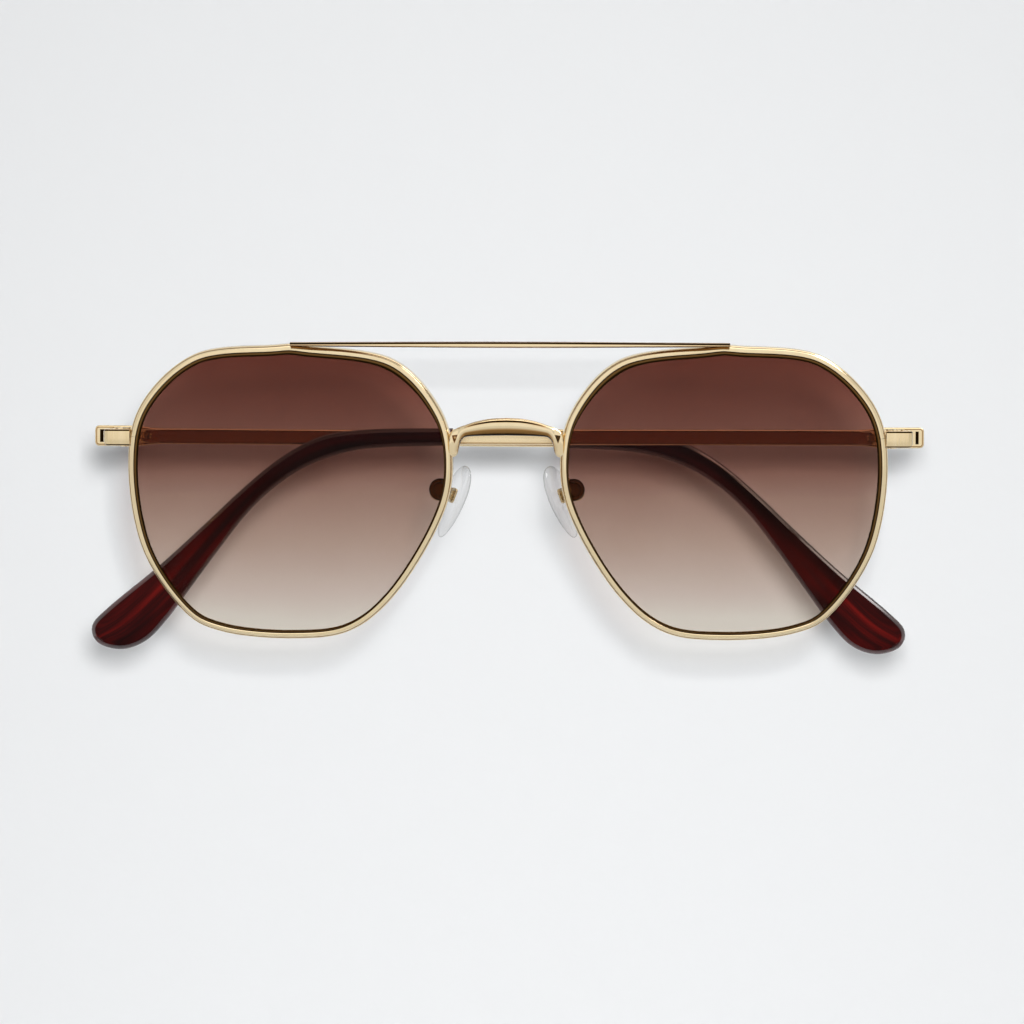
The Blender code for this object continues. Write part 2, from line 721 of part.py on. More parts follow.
def make_pad_arm(label, side, datum):
    """A wire that curls outwards from the rim's back and ends on the pad box."""
    place, turn = pad_pivot(side)
    back = -TAB_HALF_HEIGHT - 0.75 - 0.12
    end = place + turn @ Vector((back, 0.0, 0.0))
    last = place + turn @ Vector((back - 0.45, 0.0, -0.1))
    path = [(side * x, y, z) for x, y, z in ARM_PATH] + [tuple(last), tuple(end)]
    return wire(f"pad_arm_{label}", smooth(path, 3), ARM_RADIUS, datum, GOLD)


# Assembly


def build_front(datum):
    tilt = Matrix.Rotation(FRONT_TILT, 3, "X")
    upright = Matrix.Rotation(math.pi / 2, 3, "X")
    front = add_empty("front_tilt", datum, rotation=tilt)
    front_plane = add_empty("front_plane", front, rotation=upright)
    make_brow_bar(front_plane)
    make_bridge(front_plane)
    for label, side in SIDES.items():
        wrap = Matrix.Rotation(side * LENS_WRAP, 3, "Z")
        centre = (side * LENS_SPACING, -LENS_FORWARD, -LENS_DROP)
        lens_frame = add_empty(f"lens_frame_{label}", front, centre, wrap @ upright)
        make_rim(label, side, lens_frame)
        make_lens(label, side, lens_frame)


def build_side(label, side, datum):
    make_end_piece(label, side, datum)
    make_rim_lock(label, side, datum)
    hinge = add_empty(f"hinge_{label}", datum, (side * HINGE_X, HINGE_Y, 0.0))
    make_front_leaf(label, side, hinge)
    make_hinge_screw(label, hinge)
    fold = FOLD_TOWARDS_LENS if side > 0 else FOLD_AWAY_FROM_LENS
    flat = Matrix(((-side, 0, 0), (0, 0, side), (0, 1, 0)))
    turn = Matrix.Rotation(fold, 3, "Z") @ flat
    axis = add_empty(f"temple_axis_{label}", datum, (side * HINGE_X, HINGE_Y, 0.0), turn)
    droop = Matrix.Rotation(-TEMPLE_DROOP[side], 3, "Z")
    line = add_empty(f"temple_line_{label}", axis, rotation=droop)
    make_temple_leaf(label, side, axis)
    make_temple_bar(label, side, line)
    make_sleeve(label, side, line)


def build_nose_side(label, side, datum):
    make_pad_arm(label, side, datum)
    place, turn = pad_pivot(side)
    mount = add_empty(f"pad_mount_{label}", datum, place, turn)
    make_pad_box(label, mount)
    make_pad_screw(label, side, mount)
    pivot = add_empty(f"pad_pivot_{label}", datum, place, turn)
    make_pad(label, pivot)
    make_lug(label, pivot)


def main():
    datum = add_empty("front_datum", None, (0.0, -PAD_CENTRE[1], -PAD_CENTRE[2]))
    build_front(datum)
    for label, side in SIDES.items():
        build_side(label, side, datum)
        build_nose_side(label, side, datum)
    bpy.context.view_layer.update()


main()
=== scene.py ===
"""Looks for the folding double-bridge sunglasses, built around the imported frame.

Lengths are in millimetres until a piece's points are placed. +X is the wearer's left, +Y runs
back towards the head and +Z is up. Angles are in radians.
"""

import json
import math

import bmesh
import bpy
from mathutils import Matrix, Vector

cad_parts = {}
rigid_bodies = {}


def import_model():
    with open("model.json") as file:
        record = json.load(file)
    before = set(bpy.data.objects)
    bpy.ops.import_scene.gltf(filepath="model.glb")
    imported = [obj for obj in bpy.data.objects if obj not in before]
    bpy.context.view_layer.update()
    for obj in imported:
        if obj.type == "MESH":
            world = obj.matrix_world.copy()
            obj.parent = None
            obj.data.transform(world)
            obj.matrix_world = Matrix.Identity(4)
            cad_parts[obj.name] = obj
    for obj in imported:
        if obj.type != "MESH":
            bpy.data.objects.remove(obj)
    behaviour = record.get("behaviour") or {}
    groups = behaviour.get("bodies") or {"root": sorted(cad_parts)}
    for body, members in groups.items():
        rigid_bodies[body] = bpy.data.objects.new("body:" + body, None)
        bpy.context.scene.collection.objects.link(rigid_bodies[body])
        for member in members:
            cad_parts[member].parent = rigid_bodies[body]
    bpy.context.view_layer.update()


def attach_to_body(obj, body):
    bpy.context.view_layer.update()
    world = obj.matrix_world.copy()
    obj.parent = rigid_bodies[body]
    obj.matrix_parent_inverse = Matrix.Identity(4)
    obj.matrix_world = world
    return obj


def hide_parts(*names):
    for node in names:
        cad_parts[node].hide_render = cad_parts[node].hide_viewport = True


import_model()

MM = 0.001
SIDES = {"right": -1, "left": 1}

# The same layout as the CAD model: datum, front plane, lens frames, hinge and pad axes.
DATUM_PLACE = (0.0, -6.3, 11.0)
FRONT_TILT = math.radians(6.0)
RIM_OUTLINE = [
    (27.54, 3.72), (25.64, 13.8), (17.42, 22.62), (3.12, 24.94), (-2.76, 25.01),
    (-16.35, 23.26), (-25.59, 14.87), (-28.06, 4.3), (-25.88, -10.01), (-19.05, -20.79),
    (-12.12, -24.43), (-0.12, -25.35), (9.91, -23.91), (17.83, -17.4), (25.07, -5.69),
]
OUTLINE_STEPS = 14
LENS_SPACING = 36.8
LENS_DROP = 9.1
LENS_RADIUS = 88.0
LENS_FORWARD = 4.0
LENS_WRAP = math.radians(3.0)
LENS_THICKNESS = 1.5
LENS_CHAMFER = 0.42
RIM_WIDTH = 1.3
RIM_DEPTH = 2.2
GROOVE_DEPTH = 0.5
GROOVE_GAP = 0.09
RIM_SPLIT = 0.05

BROW_HALF_LENGTH = 37.0
BROW_CENTRE = 0.6
BROW_TOP = 16.66
BROW_BOTTOM = 15.7
BROW_END_TOP = 16.5
BROW_END_BOTTOM = 15.88
BROW_DEPTH = 1.4
BROW_FORWARD = 2.05
BRIDGE_DEPTH = 1.7
BRIDGE_FORWARD = 1.6

HINGE_X = 67.0
HINGE_Y = 9.6
END_PIECE_HEIGHT = 2.8
STRIP_THICKNESS = 1.2
END_PIECE_START = 64.95
END_PIECE_Y = 2.15
END_PIECE_BEND = 0.75
BUTT_LENGTH = 4.5
BUTT_GAP = 0.1
BAR_OFFSET = 1.1
KNUCKLE_RADIUS = 1.04
KNUCKLE_HALF_HEIGHT = 0.5
KNUCKLE_TOP = 1.5
KNUCKLE_GAP = 0.06
HINGE_SCREW_RADIUS = 0.46
HINGE_BORE_RADIUS = 0.52
HINGE_HEAD_RADIUS = 0.7
HINGE_HEAD_HEIGHT = 0.35
LEAF_REACH = 1.85
LEAF_INNER = 0.4
LEAF_OUTER = 1.06
LEAF_HALF_HEIGHT = 1.35
ARM_INSET = 0.05
LOCK_BLOCK = (63.35, 66.2, 3.45, 5.2)
LOCK_HALF_HEIGHT = 1.65
LOCK_SPLIT = 0.05
LOCK_SCREW_PLACE = (65.0, 3.85)
LOCK_SCREW_RADIUS = 0.45
LOCK_HEAD_RADIUS = 0.7

FOLD = {"left": math.radians(1.5), "right": math.radians(1.0)}
DROOP = {"left": 0.0, "right": math.radians(0.35)}
BEND_SHIFT = {"left": 0.0, "right": -2.8}
BAR_HEIGHT = 2.7
BUTT_HEIGHT = 3.6
SLEEVE_START = 76.5
BEND_START = 84.0
SLEEVE_THICKNESS = 2.8
SLEEVE_TOP = [(76.5, 1.5), (88.0, 1.4), (95.0, 0.9), (99.0, 0.05), (103.0, -1.7), (108.0, -5.0)]
SLEEVE_FLANK = [(113.5, -9.7), (119.0, -14.9), (127.0, -22.2), (135.5, -29.2)]
SLEEVE_END = [(138.6, -32.6), (137.6, -35.6), (133.5, -36.7), (129.3, -35.2)]
SLEEVE_UNDERSIDE = [(125.6, -31.4), (121.5, -25.9), (116.5, -19.1), (111.5, -12.8), (106.5, -8.2)]
SLEEVE_BOTTOM = [(101.0, -4.8), (94.5, -2.6), (88.0, -1.8), (76.5, -1.5)]

PAD_CENTRE = (9.3, 6.3, -11.0)
PAD_LONG_AXIS = (-0.354, 0.0, 0.935)
PAD_FACE = (-0.883, 0.469, 0.0)
PAD_HALF_LENGTH = 6.5
PAD_HALF_WIDTH = 3.4
PAD_HALF_THICKNESS = 1.0
PAD_TAPER = 0.28
PIVOT_BEHIND_PAD = 2.1
PIVOT_ABOVE_CENTRE = 1.0
BOX_LENGTH = 2.6
BOX_WIDTH = 2.0
BOX_THICKNESS = 1.5
BOX_SLOT = 0.8
TAB_THICKNESS = 0.6
TAB_HALF_HEIGHT = 0.8
PAD_SCREW_RADIUS = 0.28
PAD_HEAD_RADIUS = 0.5
PAD_HEAD_HEIGHT = 0.3
LUG_PLATE = (0.4, 1.8, 2.6)
ARM_RADIUS = 0.52
ARM_DISC = (11.35, 2.3, -8.75)
ARM_DISC_RADIUS = 1.9
ARM_PATH = [
    (10.2, 0.9, -6.9),
    (10.4, 1.9, -8.0),
    (10.9, 2.7, -9.5),
    (11.8, 3.2, -10.2),
    (12.65, 3.7, -9.7),
]


# Placing


def turned(angle, axis):
    return Matrix.Rotation(angle, 4, axis)


def moved(x, y, z):
    return Matrix.Translation((x, y, z))


DATUM = moved(*DATUM_PLACE)
UPRIGHT = turned(math.pi / 2, "X")
FRONT = DATUM @ turned(FRONT_TILT, "X")
FRONT_PLANE = FRONT @ UPRIGHT


def lens_frame(side):
    place = moved(side * LENS_SPACING, -LENS_FORWARD, -LENS_DROP)
    return FRONT @ place @ turned(side * LENS_WRAP, "Z") @ UPRIGHT


def hinge_frame(side):
    return DATUM @ moved(side * HINGE_X, HINGE_Y, 0.0)


def temple_axis(label):
    side = SIDES[label]
    flat = Matrix(((-side, 0, 0), (0, 0, side), (0, 1, 0))).to_4x4()
    return hinge_frame(side) @ turned(FOLD[label], "Z") @ flat


def temple_line(label):
    return temple_axis(label) @ turned(-DROOP[label], "Z")


def pad_frame(side):
    along = Vector((side * PAD_LONG_AXIS[0], *PAD_LONG_AXIS[1:])).normalized()
    face = Vector((side * PAD_FACE[0], *PAD_FACE[1:]))
    face = (face - face.dot(along) * along).normalized()
    centre = Vector((side * PAD_CENTRE[0], *PAD_CENTRE[1:]))
    place = centre - PIVOT_BEHIND_PAD * face + PIVOT_ABOVE_CENTRE * along
    turn = Matrix((face, along.cross(face), along)).transposed().to_4x4()
    return DATUM @ Matrix.Translation(place) @ turn


# Curves


def smooth(points, steps, closed=False):
    """Points along a Catmull-Rom curve through the given points."""
    count = len(points)
    result = []
    for span in range(count if closed else count - 1):
        places = [span - 1, span, span + 1, span + 2]
        if closed:
            places = [place % count for place in places]
        else:
            places = [min(max(place, 0), count - 1) for place in places]
        before, start, end, after = [Vector(points[place]) for place in places]
        for step in range(steps):
            t = step / steps
            point = 2 * start + (end - before) * t
            point += (2 * before - 5 * start + 4 * end - after) * t**2
            point += (3 * start - before - 3 * end + after) * t**3
            result.append(point / 2)
    if not closed:
        result.append(Vector(points[-1]))
    return result


def softened(points, sizes, steps=3):
    """A closed outline with each corner cut back by its size and bent round."""
    result = []
    for index, point in enumerate(points):
        size = sizes[index] if isinstance(sizes, (list, tuple)) else sizes
        corner = Vector(point)
        if size <= 0:
            result.append(corner)
            continue
        start = corner + (Vector(points[index - 1]) - corner).normalized() * size
        end = corner + (Vector(points[(index + 1) % len(points)]) - corner).normalized() * size
        for step in range(steps + 1):
            t = step / steps
            result.append((1 - t) ** 2 * start + 2 * t * (1 - t) * corner + t**2 * end)
    return result


def section_with_painted_shade(corners):
    """A softened section and its points' painted shades, from x, y and any painted shade and corner
    size.
    """
    steps = 3
    corners = [(*corner, 0.0, 0.0)[:4] for corner in corners]
    points = softened([corner[:2] for corner in corners], [corner[3] for corner in corners], steps)
    painted_shades = []
    for corner in corners:
        painted_shades += [corner[2]] * (steps + 1 if corner[3] > 0 else 1)
    return points, painted_shades


def inset(loop, distance):
    """The closed anticlockwise loop moved towards its inside."""
    result = []
    for index, point in enumerate(loop):
        before = (point - loop[index - 1]).normalized()
        after = (loop[(index + 1) % len(loop)] - point).normalized()
        along = (before + after).normalized()
        cosine = max(0.6, along.dot(after))
        result.append(point + distance / cosine * Vector((-along.y, along.x)))
    return result


def anticlockwise(loop):
    area = sum(a.x * b.y - b.x * a.y for a, b in zip(loop, loop[1:] + loop[:1]))
    return loop if area > 0 else loop[::-1]


def rectangle(width, height):
    x, y = width / 2, height / 2
    return [(x, -y), (x, y), (-x, y), (-x, -y)]


# Meshes

# How far in from a bevel the painted crease shade fades out.
CREASE_WIDTH = 0.1


def loft(rings, closed=False, caps=True):
    """Points and faces of a skin over rings of equal length."""
    size = len(rings[0])
    points = [point for ring in rings for point in ring]
    faces = []
    last = len(rings) if closed else len(rings) - 1
    for row in range(last):
        here = row * size
        there = (row + 1) % len(rings) * size
        for column in range(size):
            after = (column + 1) % size
            faces.append((here + column, here + after, there + after, there + column))
    if caps and not closed:
        faces.append(tuple(range(size - 1, -1, -1)))
        faces.append(tuple(range(len(points) - size, len(points))))
    return points, faces


def new_object(name, data):
    obj = bpy.data.objects.new(name, data)
    bpy.context.scene.collection.objects.link(obj)
    return obj


def make_mesh(name, points, faces, place, painted_shades=None, flows=None):
    """A mesh object whose points are placed in the row frame, in metres.

    Painted shades darken the metal with painted shade at creases, grooves, ledges and edges. Flows run
    along a streaked piece.
    """
    bm = bmesh.new()
    painted_shade_layer = bm.verts.layers.float.new("shade")
    flow_layer = bm.verts.layers.float_vector.new("flow")
    verts = [bm.verts.new(place @ Vector(point) * MM) for point in points]
    for vert, shade in zip(verts, painted_shades or []):
        vert[painted_shade_layer] = shade
    for vert, flow in zip(verts, flows or []):
        vert[flow_layer] = flow
    for face in faces:
        bm.faces.new([verts[index] for index in face])
    bmesh.ops.remove_doubles(bm, verts=bm.verts, dist=1e-8)
    bmesh.ops.recalc_face_normals(bm, faces=bm.faces)
    mesh = bpy.data.meshes.new(name)
    bm.to_mesh(mesh)
    bm.free()
    return new_object(name, mesh)


def combine(target, other, operation):
    """Joins or cuts with another mesh, which is used up."""
    modifier = target.modifiers.new("solid", "BOOLEAN")
    modifier.operation = operation
    modifier.object = other
    modifier.solver = "EXACT"
    bpy.context.view_layer.update()
    graph = bpy.context.evaluated_depsgraph_get()
    mesh = bpy.data.meshes.new_from_object(target.evaluated_get(graph))
    target.modifiers.clear()
    target.data = mesh
    bpy.data.objects.remove(other)


def unite(target, *others):
    for other in others:
        combine(target, other, "UNION")


def attach(target, *others):
    """Adds each mesh as a shell of its own, which keeps its shades."""
    for other in others:
        bm = bmesh.new()
        bm.from_mesh(target.data)
        bm.from_mesh(other.data)
        bm.to_mesh(target.data)
        bm.free()
        bpy.data.objects.remove(other)


def cut(target, *others):
    for other in others:
        combine(target, other, "DIFFERENCE")


def plate(name, loop, low, high, place, bevel=0.0, steps=2, painted_crease_shade=0.0, tone=0.0):
    """A flat solid with bevelled edges, from a loop in the place's XY plane. The crease is painted
    shade along the lines where the bevels meet the flat faces, and the tone is painted shade over the
    whole solid.
    """
    loop = anticlockwise([Vector(point[:2]) for point in loop])
    rings = [(0.0, low, 0.0), (0.0, high, 0.0)]
    if bevel:
        rings = []
        for step in range(steps + 1):
            angle = math.pi / 2 * step / steps
            shade = 0.0 if step else painted_crease_shade
            rings.append((bevel * (1 - math.sin(angle)), bevel * (1 - math.cos(angle)), shade))
        if painted_crease_shade:
            rings.insert(0, (bevel + CREASE_WIDTH, 0.0, 0.0))
        upper = [(shrink, high - height, shade) for shrink, height, shade in reversed(rings)]
        rings = [(shrink, low + height, shade) for shrink, height, shade in rings] + upper
    skins = [[(*point, height) for point in inset(loop, shrink)] for shrink, height, _ in rings]
    painted_shades = [max(shade, tone) for _, _, shade in rings for _ in loop]
    return make_mesh(name, *loft(skins), place, painted_shades)


def block(name, low, high, place, bevel=0.0, tone=0.0):
    """A box between two corners, with bevelled vertical and horizontal edges, and its tone as painted
    shade.
    """
    x, y, z = [sorted(pair) for pair in zip(low, high)]
    loop = [(x[1], y[0]), (x[1], y[1]), (x[0], y[1]), (x[0], y[0])]
    if bevel:
        loop = softened(loop, bevel, 2)
    return plate(name, loop, z[0], z[1], place, bevel * 0.9, tone=tone)


def circle(sides):
    """The cosine and sine of evenly spaced angles."""
    angles = [2 * math.pi * side / sides for side in range(sides)]
    return [(math.cos(angle), math.sin(angle)) for angle in angles]


def turned_solid(name, profile, place, sides=40):
    """A round solid about the place's Z axis, from radius, height and any painted shade."""
    rings = []
    painted_shades = [point[2] if len(point) > 2 else 0.0 for point in profile for _ in range(sides)]
    for radius, height, *_ in profile:
        rings.append([(radius * x, radius * y, height) for x, y in circle(sides)])
    return make_mesh(name, *loft(rings), place, painted_shades)


def rod(name, radius, low, high, place, bevel=0.0, sides=40):
    if not bevel:
        return turned_solid(name, [(radius, low), (radius, high)], place, sides)
    profile = [(radius - bevel, low), (radius - bevel * 0.3, low + bevel * 0.3), (radius, low + bevel)]
    profile += [(r, low + high - z) for r, z in reversed(profile)]
    return turned_solid(name, profile, place, sides)


def tube(name, path, radius, place, sides=20):
    """A round wire along a path, with flat ends."""
    path = [Vector(point) for point in path]
    across = (path[1] - path[0]).orthogonal().normalized()
    rings = []
    for index, point in enumerate(path):
        ahead = path[min(index + 1, len(path) - 1)]
        behind = path[max(index - 1, 0)]
        along = (ahead - behind).normalized()
        across = (across - across.dot(along) * along).normalized()
        up = along.cross(across)
        rings.append([point + radius * (x * across + y * up) for x, y in circle(sides)])
    return make_mesh(name, *loft(rings), place)


# Materials


class Nodes:
    """Short calls for building a node tree."""

    def __init__(self, tree):
        self.tree = tree

    def add(self, kind, settings=None, **inputs):
        node = self.tree.nodes.new(kind)
        for key, value in (settings or {}).items():
            setattr(node, key, value)
        for key, value in inputs.items():
            self.feed(node, key.replace("_", " "), value)
        return node

    def feed(self, node, key, value):
        socket = node.inputs[key]
        if isinstance(value, bpy.types.NodeSocket):
            self.tree.links.new(value, socket)
        else:
            socket.default_value = value

    def math(self, operation, first, second):
        node = self.add("ShaderNodeMath", {"operation": operation})
        self.feed(node, 0, first)
        self.feed(node, 1, second)
        return node.outputs[0]

    def scaled(self, vector, scale):
        return self.add("ShaderNodeMapping", Vector=vector, Scale=scale).outputs["Vector"]

    def noise(self, vector, scale, detail=3.0, roughness=0.5):
        values = {"Scale": scale, "Detail": detail, "Roughness": roughness}
        return self.add("ShaderNodeTexNoise", Vector=vector, **values).outputs["Fac"]

    def spread(self, value, low, high, start=0.3, end=0.7):
        """What runs from start to end, made to run from low to high."""
        values = {"From Min": start, "From Max": end, "To Min": low, "To Max": high}
        return self.add("ShaderNodeMapRange", Value=value, **values).outputs["Result"]

    def ramp(self, value, stops):
        node = self.add("ShaderNodeValToRGB", Fac=value)
        band = node.color_ramp
        while len(band.elements) < len(stops):
            band.elements.new(0.5)
        for element, (place, _) in zip(band.elements, stops):
            element.position = place
        for element, (_, colour) in zip(band.elements, stops):
            element.color = (*colour, 1.0)
        return node.outputs["Color"]

    def bump(self, height, strength, distance):
        values = {"Strength": strength, "Distance": distance}
        return self.add("ShaderNodeBump", Height=height, **values).outputs["Normal"]

    def outward(self):
        """One on a face seen from its outside, and zero from behind."""
        return self.math("SUBTRACT", 1.0, self.add("ShaderNodeNewGeometry").outputs["Backfacing"])

    def mixed(self, share, first, second):
        node = self.add("ShaderNodeMixShader", Fac=share)
        self.tree.links.new(first.outputs[0], node.inputs[1])
        self.tree.links.new(second.outputs[0], node.inputs[2])
        return node

    def finish(self, shader, output="Material Output"):
        self.tree.links.new(shader.outputs[0], self.tree.nodes[output].inputs["Surface"])


def new_material(name):
    material = bpy.data.materials.new(name)
    material.use_nodes = True
    nodes = Nodes(material.node_tree)
    return material, nodes, material.node_tree.nodes["Principled BSDF"]


# What painted shade leaves of the plating's colour, from open metal down to the darkest painted shade
# in a groove.
PAINTED_SHADE_STOPS = [
    (0.0, (1.0, 1.0, 1.0)),
    (0.5, (0.42, 0.27, 0.13)),
    (1.0, (0.015, 0.009, 0.004)),
]
CLOUD_SCALE = 420.0
MARK_SCALE = 2600.0


def metal(name, light, dark, roughness, brushing=(1.0, 1.0, 1.0), tarnish=0.5):
    """Polished plating with faint polishing marks, or brushed along one direction, darkened where its
    points carry painted shade.
    """
    material, nodes, shader = new_material(name)
    place = nodes.add("ShaderNodeTexCoord").outputs["Object"]
    cloud = nodes.noise(nodes.scaled(place, brushing), CLOUD_SCALE, 4.0)
    fine = nodes.noise(nodes.scaled(place, brushing), MARK_SCALE, 3.0, 0.6)
    tone = nodes.spread(cloud, 0.0, tarnish)
    plating = nodes.ramp(tone, [(0.0, light), (1.0, dark)])
    shade = nodes.add("ShaderNodeAttribute", {"attribute_name": "shade"}).outputs["Fac"]
    painted_shade_colour = nodes.ramp(shade, PAINTED_SHADE_STOPS)
    colours = {"Color1": plating, "Color2": painted_shade_colour}
    product = nodes.add("ShaderNodeMixRGB", {"blend_type": "MULTIPLY"}, Fac=1.0, **colours)
    nodes.feed(shader, "Base Color", product.outputs["Color"])
    nodes.feed(shader, "Roughness", nodes.spread(fine, roughness * 0.75, roughness * 1.35))
    even = min(brushing) == max(brushing)
    nodes.feed(shader, "Normal", nodes.bump(fine, 0.05 if even else 0.12, 0.00002))
    shader.inputs["Metallic"].default_value = 1.0
    return material


LIGHT_GOLD = (0.84, 0.69, 0.45)
DARK_GOLD = (0.70, 0.54, 0.30)
GOLD = metal("polished_gold", LIGHT_GOLD, DARK_GOLD, 0.13, tarnish=0.25)
BAR_GOLD = metal("long_brushed_gold", LIGHT_GOLD, DARK_GOLD, 0.2, (0.03, 1.0, 1.0))
PLATE_GOLD = metal("brushed_gold", LIGHT_GOLD, DARK_GOLD, 0.22, (1.0, 1.0, 0.06), 0.8)
LIGHT_SCREW = (0.74, 0.58, 0.36)
DARK_SCREW = (0.50, 0.38, 0.20)
SCREW_METAL = metal("screw_gold", LIGHT_SCREW, DARK_SCREW, 0.24, (0.1, 1.0, 1.0), 0.9)


def straight_through(nodes, shader, tint, gloss, share):
    """Light passes straight through the tint, and only outward faces add a share of gloss."""
    clear = nodes.add("ShaderNodeBsdfTransparent", Color=tint)
    share = nodes.math("MULTIPLY", share, nodes.outward())
    nodes.tree.nodes.remove(shader)
    nodes.finish(nodes.mixed(share, clear, gloss))


# The share of a bare lens's reflection that its anti-reflection coating leaves.
COATING_SHARE = 0.12
TINT_TOP = 28.0
TINT_BOTTOM = -22.0
TINT_STOPS = [
    (0.040, (0.885, 0.860, 0.815)),
    (0.134, (0.835, 0.775, 0.735)),
    (0.302, (0.742, 0.648, 0.592)),
    (0.471, (0.656, 0.529, 0.469)),
    (0.572, (0.545, 0.385, 0.335)),
    (0.808, (0.440, 0.255, 0.212)),
    (0.980, (0.320, 0.150, 0.115)),
]


def tinted_lens():
    """A graded tint that light passes straight through, with a polished surface."""
    material, nodes, shader = new_material("brown_graded_tint")
    place = nodes.add("ShaderNodeTexCoord").outputs["Object"]
    height = nodes.add("ShaderNodeSeparateXYZ", Vector=place).outputs["Z"]
    drift = nodes.spread(nodes.noise(place, 60.0, 1.0), -0.0006, 0.0006)
    height = nodes.math("ADD", height, drift)
    level = nodes.spread(height, 0.0, 1.0, TINT_BOTTOM * MM, TINT_TOP * MM)
    tint = nodes.ramp(level, TINT_STOPS)
    gloss = nodes.add("ShaderNodeBsdfGlossy", Color=(1.0, 1.0, 1.0, 1.0), Roughness=0.03)
    fresnel = nodes.add("ShaderNodeFresnel", IOR=1.5).outputs["Fac"]
    straight_through(nodes, shader, tint, gloss, nodes.math("MULTIPLY", fresnel, COATING_SHARE))
    return material


TINT = tinted_lens()


FINE_STREAKS = 0.18
ACETATE_STOPS = [
    (0.36, (0.007, 0.0006, 0.0006)),
    (0.48, (0.020, 0.0010, 0.0009)),
    (0.58, (0.044, 0.0016, 0.0013)),
    (0.70, (0.090, 0.0035, 0.0025)),
]


def streaked_acetate():
    """Dark maroon acetate with streaks that follow the tip, under a polished surface."""
    material, nodes, shader = new_material("maroon_acetate")
    flow = nodes.add("ShaderNodeAttribute", {"attribute_name": "flow"}).outputs["Vector"]
    broad = nodes.noise(nodes.scaled(flow, (0.035, 0.5, 0.6)), 1.0, 3.0, 0.55)
    fine = nodes.noise(nodes.scaled(flow, (0.05, 2.2, 2.0)), 1.0, 4.0, 0.6)
    broad_share = nodes.math("MULTIPLY", broad, 1.0 - FINE_STREAKS)
    streaks = nodes.math("ADD", broad_share, nodes.math("MULTIPLY", fine, FINE_STREAKS))
    nodes.feed(shader, "Base Color", nodes.ramp(streaks, ACETATE_STOPS))
    nodes.feed(shader, "Roughness", nodes.spread(fine, 0.10, 0.2))
    wave = nodes.noise(nodes.scaled(flow, (0.15, 0.3, 0.3)), 1.0, 2.0)
    nodes.feed(shader, "Normal", nodes.bump(wave, 0.1, 0.00005))
    edge = nodes.add("ShaderNodeLayerWeight", Blend=0.5).outputs["Facing"]
    nodes.feed(shader, "Specular IOR Level", nodes.spread(edge, 0.06, 1.6, 0.1, 0.4))
    return material


ACETATE = streaked_acetate()


# The clear plastic's tint, from a face seen square on to one seen edge on, painted greyer towards the
# edges as shade.
CLEAR_STOPS = [
    (0.25, (0.99, 0.99, 0.99)),
    (0.50, (0.95, 0.95, 0.95)),
    (0.72, (0.70, 0.70, 0.70)),
    (0.92, (0.12, 0.11, 0.10)),
]


def clear_plastic():
    """Water-clear plastic: light passes almost straight through, and the edges are painted greyer as
    shade.
    """
    material, nodes, shader = new_material("clear_soft_plastic")
    place = nodes.add("ShaderNodeTexCoord").outputs["Object"]
    haze = nodes.noise(place, 420.0, 3.0)
    bumped = nodes.bump(haze, 0.5, 0.0002)
    edge = nodes.add("ShaderNodeLayerWeight", Blend=0.5, Normal=bumped).outputs["Facing"]
    tint = nodes.ramp(edge, CLEAR_STOPS)
    gloss = nodes.add("ShaderNodeBsdfGlossy", Roughness=0.08, Normal=bumped)
    fresnel = nodes.add("ShaderNodeFresnel", IOR=1.45, Normal=bumped).outputs["Fac"]
    share = nodes.math("MULTIPLY", fresnel, nodes.spread(haze, 0.8, 3.0))
    straight_through(nodes, shader, tint, gloss, share)
    return material


CLEAR = clear_plastic()


# Finishing a piece

SHARP = math.radians(38.0)
SECTION_SHARP = math.radians(32.0)
BRIDGE_SHARP = math.radians(45.0)
PAD_SHARP = math.radians(80.0)
# The body of each piece, which the shadow lamps choose by.
PIECE_BODIES = {}


def finish_piece(obj, material, sharp=SHARP, body="front"):
    """Shades the piece, fixes it to its body and hides the CAD node it stands for.

    A piece's name is its node's name and one more word.
    """
    obj.data.materials.clear()
    obj.data.materials.append(material)
    obj.data.shade_smooth()
    obj.data.set_sharp_from_angle(angle=sharp)
    PIECE_BODIES[obj.name] = body
    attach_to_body(obj, body)
    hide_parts(obj.name.rsplit("_", 1)[0])


# Rims and lenses


def sag(x, y):
    """How far a point of the lens surface lies behind the lens centre."""
    return LENS_RADIUS - math.sqrt(LENS_RADIUS**2 - x * x - y * y)


def lens_outline(side):
    points = [(-side * x, z) for x, z in RIM_OUTLINE]
    if side == 1:
        points.reverse()
    return smooth(points, OUTLINE_STEPS, closed=True)


